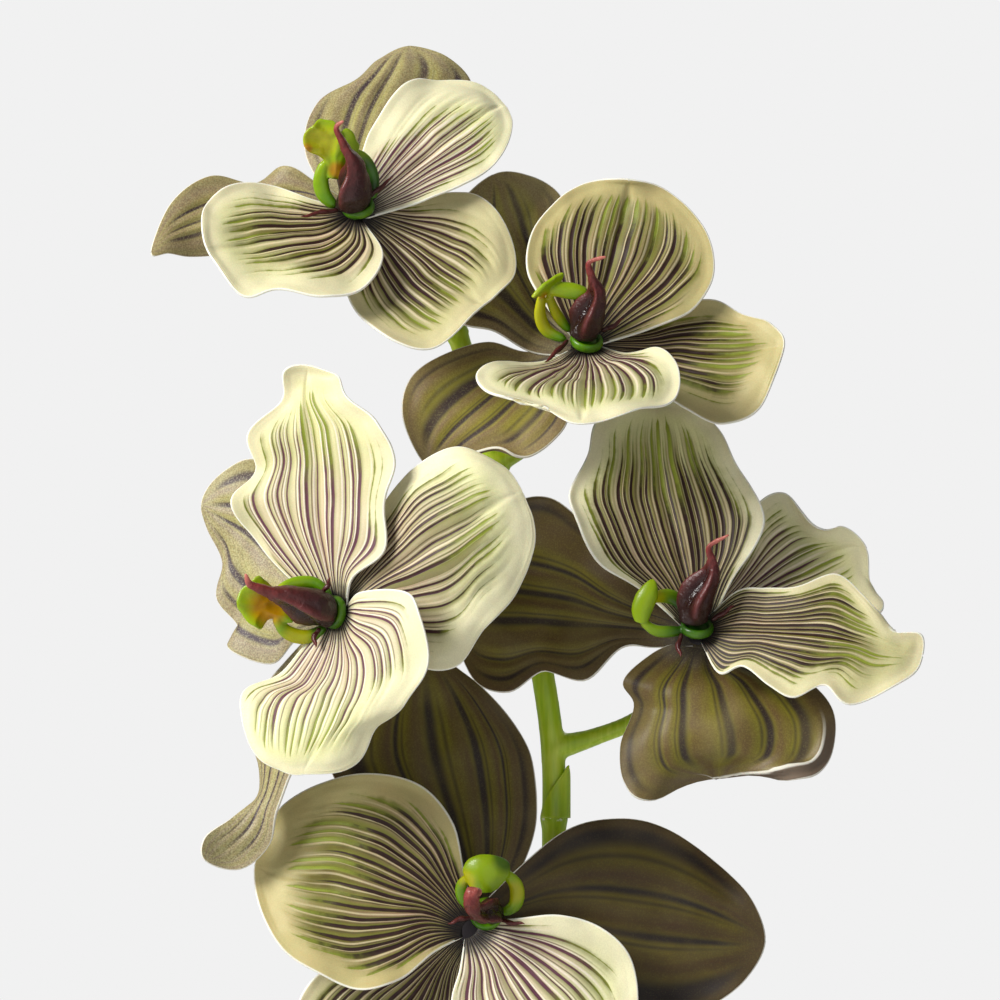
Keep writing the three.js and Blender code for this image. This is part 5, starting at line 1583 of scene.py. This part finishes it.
def sepal_material():
    """Satin olive and brown, with a few broad soft stripes and a wide brown border."""
    look = Look("sepal", 0.5, Subsurface_Weight=0.05, Subsurface_Scale=0.0015, Specular_IOR_Level=0.32)
    phase, number, signed, away = stripe_parts(look)
    reach, margin, base, side = look.values("reach", "margin", "base", "side")
    tone, shade, turned = look.values("tone", "shade", "turned")
    ragged = look.noise(3, 3) - 0.5
    grain, cloud = look.noise(0.36, 2), look.noise(9, 2)
    width = look.random(number + 3.7) * 0.05 + 0.055 + ragged * 0.04 + tone * 0.05
    speckle = (grain - 0.5) * 0.08
    core = (away + speckle).fall(width - 0.05, width + 0.1)
    stripe = core * margin.rise(0.6, 3.2) * reach.fall(0.74, 0.94)
    second = (abs(signed - 0.24) + speckle).fall(0.0, 0.08)
    second = second * margin.rise(2, 6) * reach.fall(0.6, 0.9) * 0.7

    streak_place = look.new("ShaderNodeCombineXYZ")
    look.put(streak_place.inputs["X"], phase * 0.011)
    look.put(streak_place.inputs["Y"], reach * 0.012)
    streaks = look.noise(2.2, 2, streak_place.outputs[0])
    lean = signed + ragged * 0.2
    brown = lean.fall(-0.3, -0.02) * lean.rise(-0.62, -0.3, 0.55, 1.0)
    brown = brown.most(lean.rise(0.24, 0.5, 0.0, 0.55))
    brown = (brown * 0.85 + (streaks - 0.5) * 0.9).most(0.0).least(1.0)
    colour = look.mix(brown, look.mix(cloud, SEPAL_OLIVE, SEPAL_LIGHT_OLIVE), SEPAL_BROWN)
    colour = look.mix((margin + ragged * 4).fall(1.5, 8.0) * 0.85, colour, SEPAL_BORDER)
    colour = look.mix(second, colour, SEPAL_SECOND_LINE)
    colour = look.mix(stripe * 0.94, colour, SEPAL_STRIPE)
    sheen = look.noise(15, 1).rise(0.46, 0.72) * base.rise(10, 22) * 0.3
    colour = look.mix(sheen, colour, SEPAL_SHEEN)
    # Painted shade: the sepal darkens towards its root, where it lies under the petals.
    colour = look.mix(base.fall(4, 16), colour, SEPAL_ROOT_PAINTED_SHADE)
    # Painted shade: sepals that lie in shadow or turn from the light are darkened, on top of their own dark
    # tint.
    colour = look.mix(shade * 0.7, colour, SEPAL_TINT_AND_SHADE, "MULTIPLY")
    # Painted sheen: sepals seen edge-on are washed pale grey, partly their powdery coat and partly the sheen
    # it gives at grazing angles.
    sheen_pale = look.mix(stripe, look.mix(brown, SHEEN_PALE_OLIVE, SHEEN_PALE_BROWN), SHEEN_PALE_STRIPE)
    colour = look.mix(tone * 0.75, colour, sheen_pale)
    colour = look.mix(grain.rise(0.46, 0.66) * (tone * 0.3 + 0.18), colour, DARK_GRAIN)
    light_grain = grain.fall(0.34, 0.5) * (tone * 0.35 + 0.15) * (1.0 - shade * 0.6)
    colour = look.mix(light_grain, colour, look.mix(tone, LIGHT_GRAIN, SHEEN_PALE_GRAIN))

    folded = turned * side
    beyond = folded * margin.fall(TURNED_MARGIN - 0.3, TURNED_MARGIN + 0.1)
    colour = look.mix(beyond, colour, look.mix(cloud, UNDERSIDE, DARK_UNDERSIDE))
    # A near-white line along the rim and along the fold of a turned margin: the pale edge with a painted
    # highlight where it catches the light.
    fold = folded * abs(margin - TURNED_MARGIN).fall(0.2, 0.55)
    colour = look.mix(margin.fall(-0.2, 0.1).most(fold) * 0.85, colour, SEPAL_RIM_HIGHLIGHT)
    return look.finish(colour, grain * 0.3 + streaks * 0.5, 0.12, 0.5)


COLUMN_STOPS = [
    (0.0, paint(26, 9, 8)), (0.3, paint(50, 16, 14)), (0.5, paint(76, 24, 22)), (0.78, paint(122, 42, 38)),
    (1.0, paint(196, 116, 102)),
]
HOOD_INSIDE = paint(28, 12, 12)
HOOD_EDGE = paint(124, 52, 50)
COLUMN_ROUGHNESS = 0.42
HOOD_ROUGHNESS = 0.2


def column_material():
    """Glossy maroon, near black at the foot and inside the hood, rosy at its edges and hook."""
    look = Look("column", COLUMN_ROUGHNESS, Coat_Weight=0.1, Coat_Roughness=0.2, Specular_IOR_Level=0.35)
    reach, hollow, edge = look.values("reach", "hollow", "edge")
    cloud = look.noise(1.8, 3)
    body = look.ramp(reach + (cloud - 0.5) * 0.18, COLUMN_STOPS)
    body = look.mix(hollow * 0.75, body, HOOD_INSIDE)
    body = look.mix(edge * 0.45, body, HOOD_EDGE)
    look.put(look.shader.inputs["Roughness"], hollow.rise(0.2, 0.8, COLUMN_ROUGHNESS, HOOD_ROUGHNESS))
    return look.finish(body, cloud + look.noise(0.7, 2) * 0.7, 0.35, 0.8)


LIP_STOPS = [(0.12, paint(30, 84, 0)), (0.45, paint(92, 136, 0)), (0.85, paint(134, 160, 0))]
LIP_DARK = paint(24, 66, 10)
LIP_YELLOW = paint(176, 168, 4)
LIP_ORANGE = paint(176, 108, 2)


def lip_material():
    """Waxy green, darker at its foot, with yellow and orange patches."""
    look = Look(
        "lip", 0.36, Subsurface_Weight=0.1, Subsurface_Scale=0.0015, Coat_Weight=0.1, Specular_IOR_Level=0.35,
    )
    yellow, orange, dark, foot = look.values("yellow", "orange", "dark", "foot")
    cloud = look.noise(3.5, 3)
    colour = look.ramp(foot * 0.05 + (cloud - 0.5) * 0.5, LIP_STOPS)
    colour = look.mix(dark * 0.8, colour, LIP_DARK)
    colour = look.mix(yellow * 0.75, colour, LIP_YELLOW)
    colour = look.mix(orange * 0.75, colour, LIP_ORANGE)
    return look.finish(colour, cloud + look.noise(0.8, 2) * 0.3, 0.2, 0.4)


STEM_STOPS = [(0.3, paint(142, 180, 4)), (0.5, paint(174, 202, 24)), (0.7, paint(208, 224, 76))]
STREAK_STRETCH = (1, 1, 0.09)
SCAR = paint(244, 246, 214)


def stem_material():
    """Fresh yellow-green with faint streaks along it and pale flecks on its joints."""
    look = Look("stem", 0.42, Subsurface_Weight=0.15, Subsurface_Scale=0.002, Coat_Weight=0.08)
    stretch = look.new("ShaderNodeMapping")
    stretch.inputs["Scale"].default_value = STREAK_STRETCH
    look.put(stretch.inputs["Vector"], look.place)
    streaks = look.noise(1.1, 3, stretch.outputs[0])
    joint = look.value("joint")
    colour = look.ramp(streaks * 0.5 + look.noise(14, 2) * 0.5, STEM_STOPS)
    colour = look.mix(joint.fall(0.3, 0.9) * look.noise(1.6, 2).rise(0.52, 0.6), colour, SCAR)
    return look.finish(colour, streaks + look.noise(0.5, 2) * 0.3, 0.15, 0.5)


GLAZE = paint(226, 221, 209)
PALE_GLAZE = paint(240, 237, 229)
GLAZE_SPECK = paint(150, 128, 100)
BARE_CLAY = paint(196, 172, 142)
GLAZE_END = 1.6
GLAZE_END_WAVE = 1.2
GLAZE_ROUGHNESS = 0.22
CLAY_ROUGHNESS = 0.75


def vase_material():
    """Off-white glaze with fine specks, which ends just above the bare clay of the foot."""
    look = Look("glaze", GLAZE_ROUGHNESS, Coat_Weight=0.5, Coat_Roughness=0.08)
    place = look.new("ShaderNodeSeparateXYZ")
    look.put(place.inputs[0], look.place)
    cloud = look.noise(26, 3)
    glaze = look.mix(cloud, GLAZE, PALE_GLAZE)
    glaze = look.mix(look.noise(1.3, 1).rise(0.74, 0.8) * 0.5, glaze, GLAZE_SPECK)
    glaze_end = cloud * (GLAZE_END_WAVE * MM) + GLAZE_END * MM
    bare = look.math("LESS_THAN", Field(look, place.outputs["Z"]), glaze_end)
    look.put(look.shader.inputs["Roughness"], bare.rise(0.0, 1.0, GLAZE_ROUGHNESS, CLAY_ROUGHNESS))
    relief = cloud + look.noise(2.5, 2) * 0.15
    return look.finish(look.mix(bare, glaze, BARE_CLAY), relief, 0.3, 0.4)


def water_material():
    """Clear, with a faint swell."""
    look = Look("water", 0.02, IOR=1.33, Transmission_Weight=1.0)
    colour = look.mix(look.noise(30, 1), paint(236, 244, 240), paint(244, 250, 248))
    return look.finish(colour, look.noise(16, 1), 0.1, 0.3)


def floor_material():
    look = Look("studio_floor", 0.6)
    return look.finish(look.mix(look.noise(60, 2), paint(232, 232, 231), paint(236, 236, 235)))


# Studio

FLOOR_HALF = 4
SKY_SEEN = paint(241, 241, 241)
SKY_LIGHT = paint(226, 230, 236)
SKY_STRENGTH = 0.3
FAR_CLIP = 100

# Lights as (name, place, aim, width, power, colour), in metres and watts
LIGHTS = [
    ("key", (-1.0, -0.65, 1.15), (-0.01, -0.03, 0.5), 0.6, 27, (1.0, 0.99, 0.97)),
    ("fill", (0.4, -1.6, 0.5), (0, -0.03, 0.5), 1.2, 3, (0.97, 0.98, 1.0)),
    ("back", (0.5, 1.1, 1.3), (0, 0, 0.5), 0.8, 5, (1.0, 1.0, 1.0)),
]


def studio_camera():
    data = bpy.data.cameras.new("camera")
    data.sensor_width = SENSOR_WIDTH
    data.lens = SENSOR_WIDTH * VIEW_DISTANCE / VIEW_WIDTH
    data.clip_end = FAR_CLIP
    camera = bpy.data.objects.new("camera", data)
    camera.location = Vector((VIEW_CENTRE[0], BLOOM_PLANE - VIEW_DISTANCE, VIEW_CENTRE[1])) * MM
    camera.rotation_euler = (math.pi / 2, 0, 0)
    bpy.context.scene.collection.objects.link(camera)
    bpy.context.scene.camera = camera


def studio_lights():
    for name, place, aim, width, power, colour in LIGHTS:
        data = bpy.data.lights.new(name, "AREA")
        data.size, data.energy, data.color = width, power, colour
        lamp = bpy.data.objects.new(name, data)
        lamp.location = place
        lamp.rotation_mode = "QUATERNION"
        lamp.rotation_quaternion = (Vector(aim) - Vector(place)).to_track_quat("-Z", "Y")
        lamp.visible_camera = False
        bpy.context.scene.collection.objects.link(lamp)


def studio_world():
    """A pale surround. What the camera sees of it is brighter than the light it gives."""
    world_settings = bpy.data.worlds.new("studio")
    world_settings.use_nodes = True
    bpy.context.scene.world = world_settings
    tree = world_settings.node_tree
    light = tree.nodes["Background"]
    light.inputs["Color"].default_value = SKY_LIGHT
    light.inputs["Strength"].default_value = SKY_STRENGTH
    seen = tree.nodes.new("ShaderNodeBackground")
    seen.inputs["Color"].default_value = SKY_SEEN
    ray = tree.nodes.new("ShaderNodeLightPath")
    choice = tree.nodes.new("ShaderNodeMixShader")
    tree.links.new(ray.outputs["Is Camera Ray"], choice.inputs[0])
    tree.links.new(light.outputs[0], choice.inputs[1])
    tree.links.new(seen.outputs[0], choice.inputs[2])
    tree.links.new(choice.outputs[0], tree.nodes["World Output"].inputs["Surface"])
    bpy.context.scene.view_settings.view_transform = "Standard"


def studio_floor():
    corners = [(x * FLOOR_HALF, y * FLOOR_HALF, 0) for x, y in ((-1, -1), (1, -1), (1, 1), (-1, 1))]
    mesh = bpy.data.meshes.new("studio_floor")
    mesh.from_pydata(corners, [], [(0, 1, 2, 3)])
    mesh.materials.append(floor_material())
    floor = bpy.data.objects.new("studio_floor", mesh)
    bpy.context.scene.collection.objects.link(floor)


# The object

SEEDS_PER_BLOOM = 6


def dress_bloom(name, bloom, seed, petal_look, sepal_look, column_look, lip_look):
    """The four visible pieces of one bloom, each in place of the solid of the same kind."""
    shape = (PETAL_ROWS, PETAL_COLUMNS)
    pale = whorl(bloom, bloom["petals"], DORSAL_LAYER / 2, seed, shape, petal_relief)
    shape = (SEPAL_ROWS, SEPAL_COLUMNS)
    dark = whorl(bloom, bloom["sepals"], SEPAL_LAYER, seed + len(bloom["petals"]), shape, sepal_relief)
    new_object(f"{name}_pale_blades", pale, petal_look, "petal", f"{name}_petals")
    new_object(f"{name}_dark_blades", dark, sepal_look, "sepal", f"{name}_sepals")
    new_object(f"{name}_hood", column_mesh(bloom), column_look, "column", f"{name}_column")
    new_object(f"{name}_waxy_lip", lip_mesh(bloom), lip_look, "lip", f"{name}_lip")


studio_camera()
studio_lights()
studio_world()
studio_floor()

bloom_looks = (petal_material(), sepal_material(), column_material(), lip_material())
for number, (name, bloom) in enumerate(BLOOMS.items()):
    dress_bloom(name, bloom, SEEDS_PER_BLOOM * number + 1, *bloom_looks)

stem_look = stem_material()
new_object("stem_body", stem_mesh(), stem_look, "stem", "stem")
new_object("stem_bracts", bracts_mesh(), stem_look, "stem")
new_object("glazed_vase", vase_mesh(), vase_material(), "vase", "vase")
new_object("water_body", water_mesh(), water_material(), "water", "water")
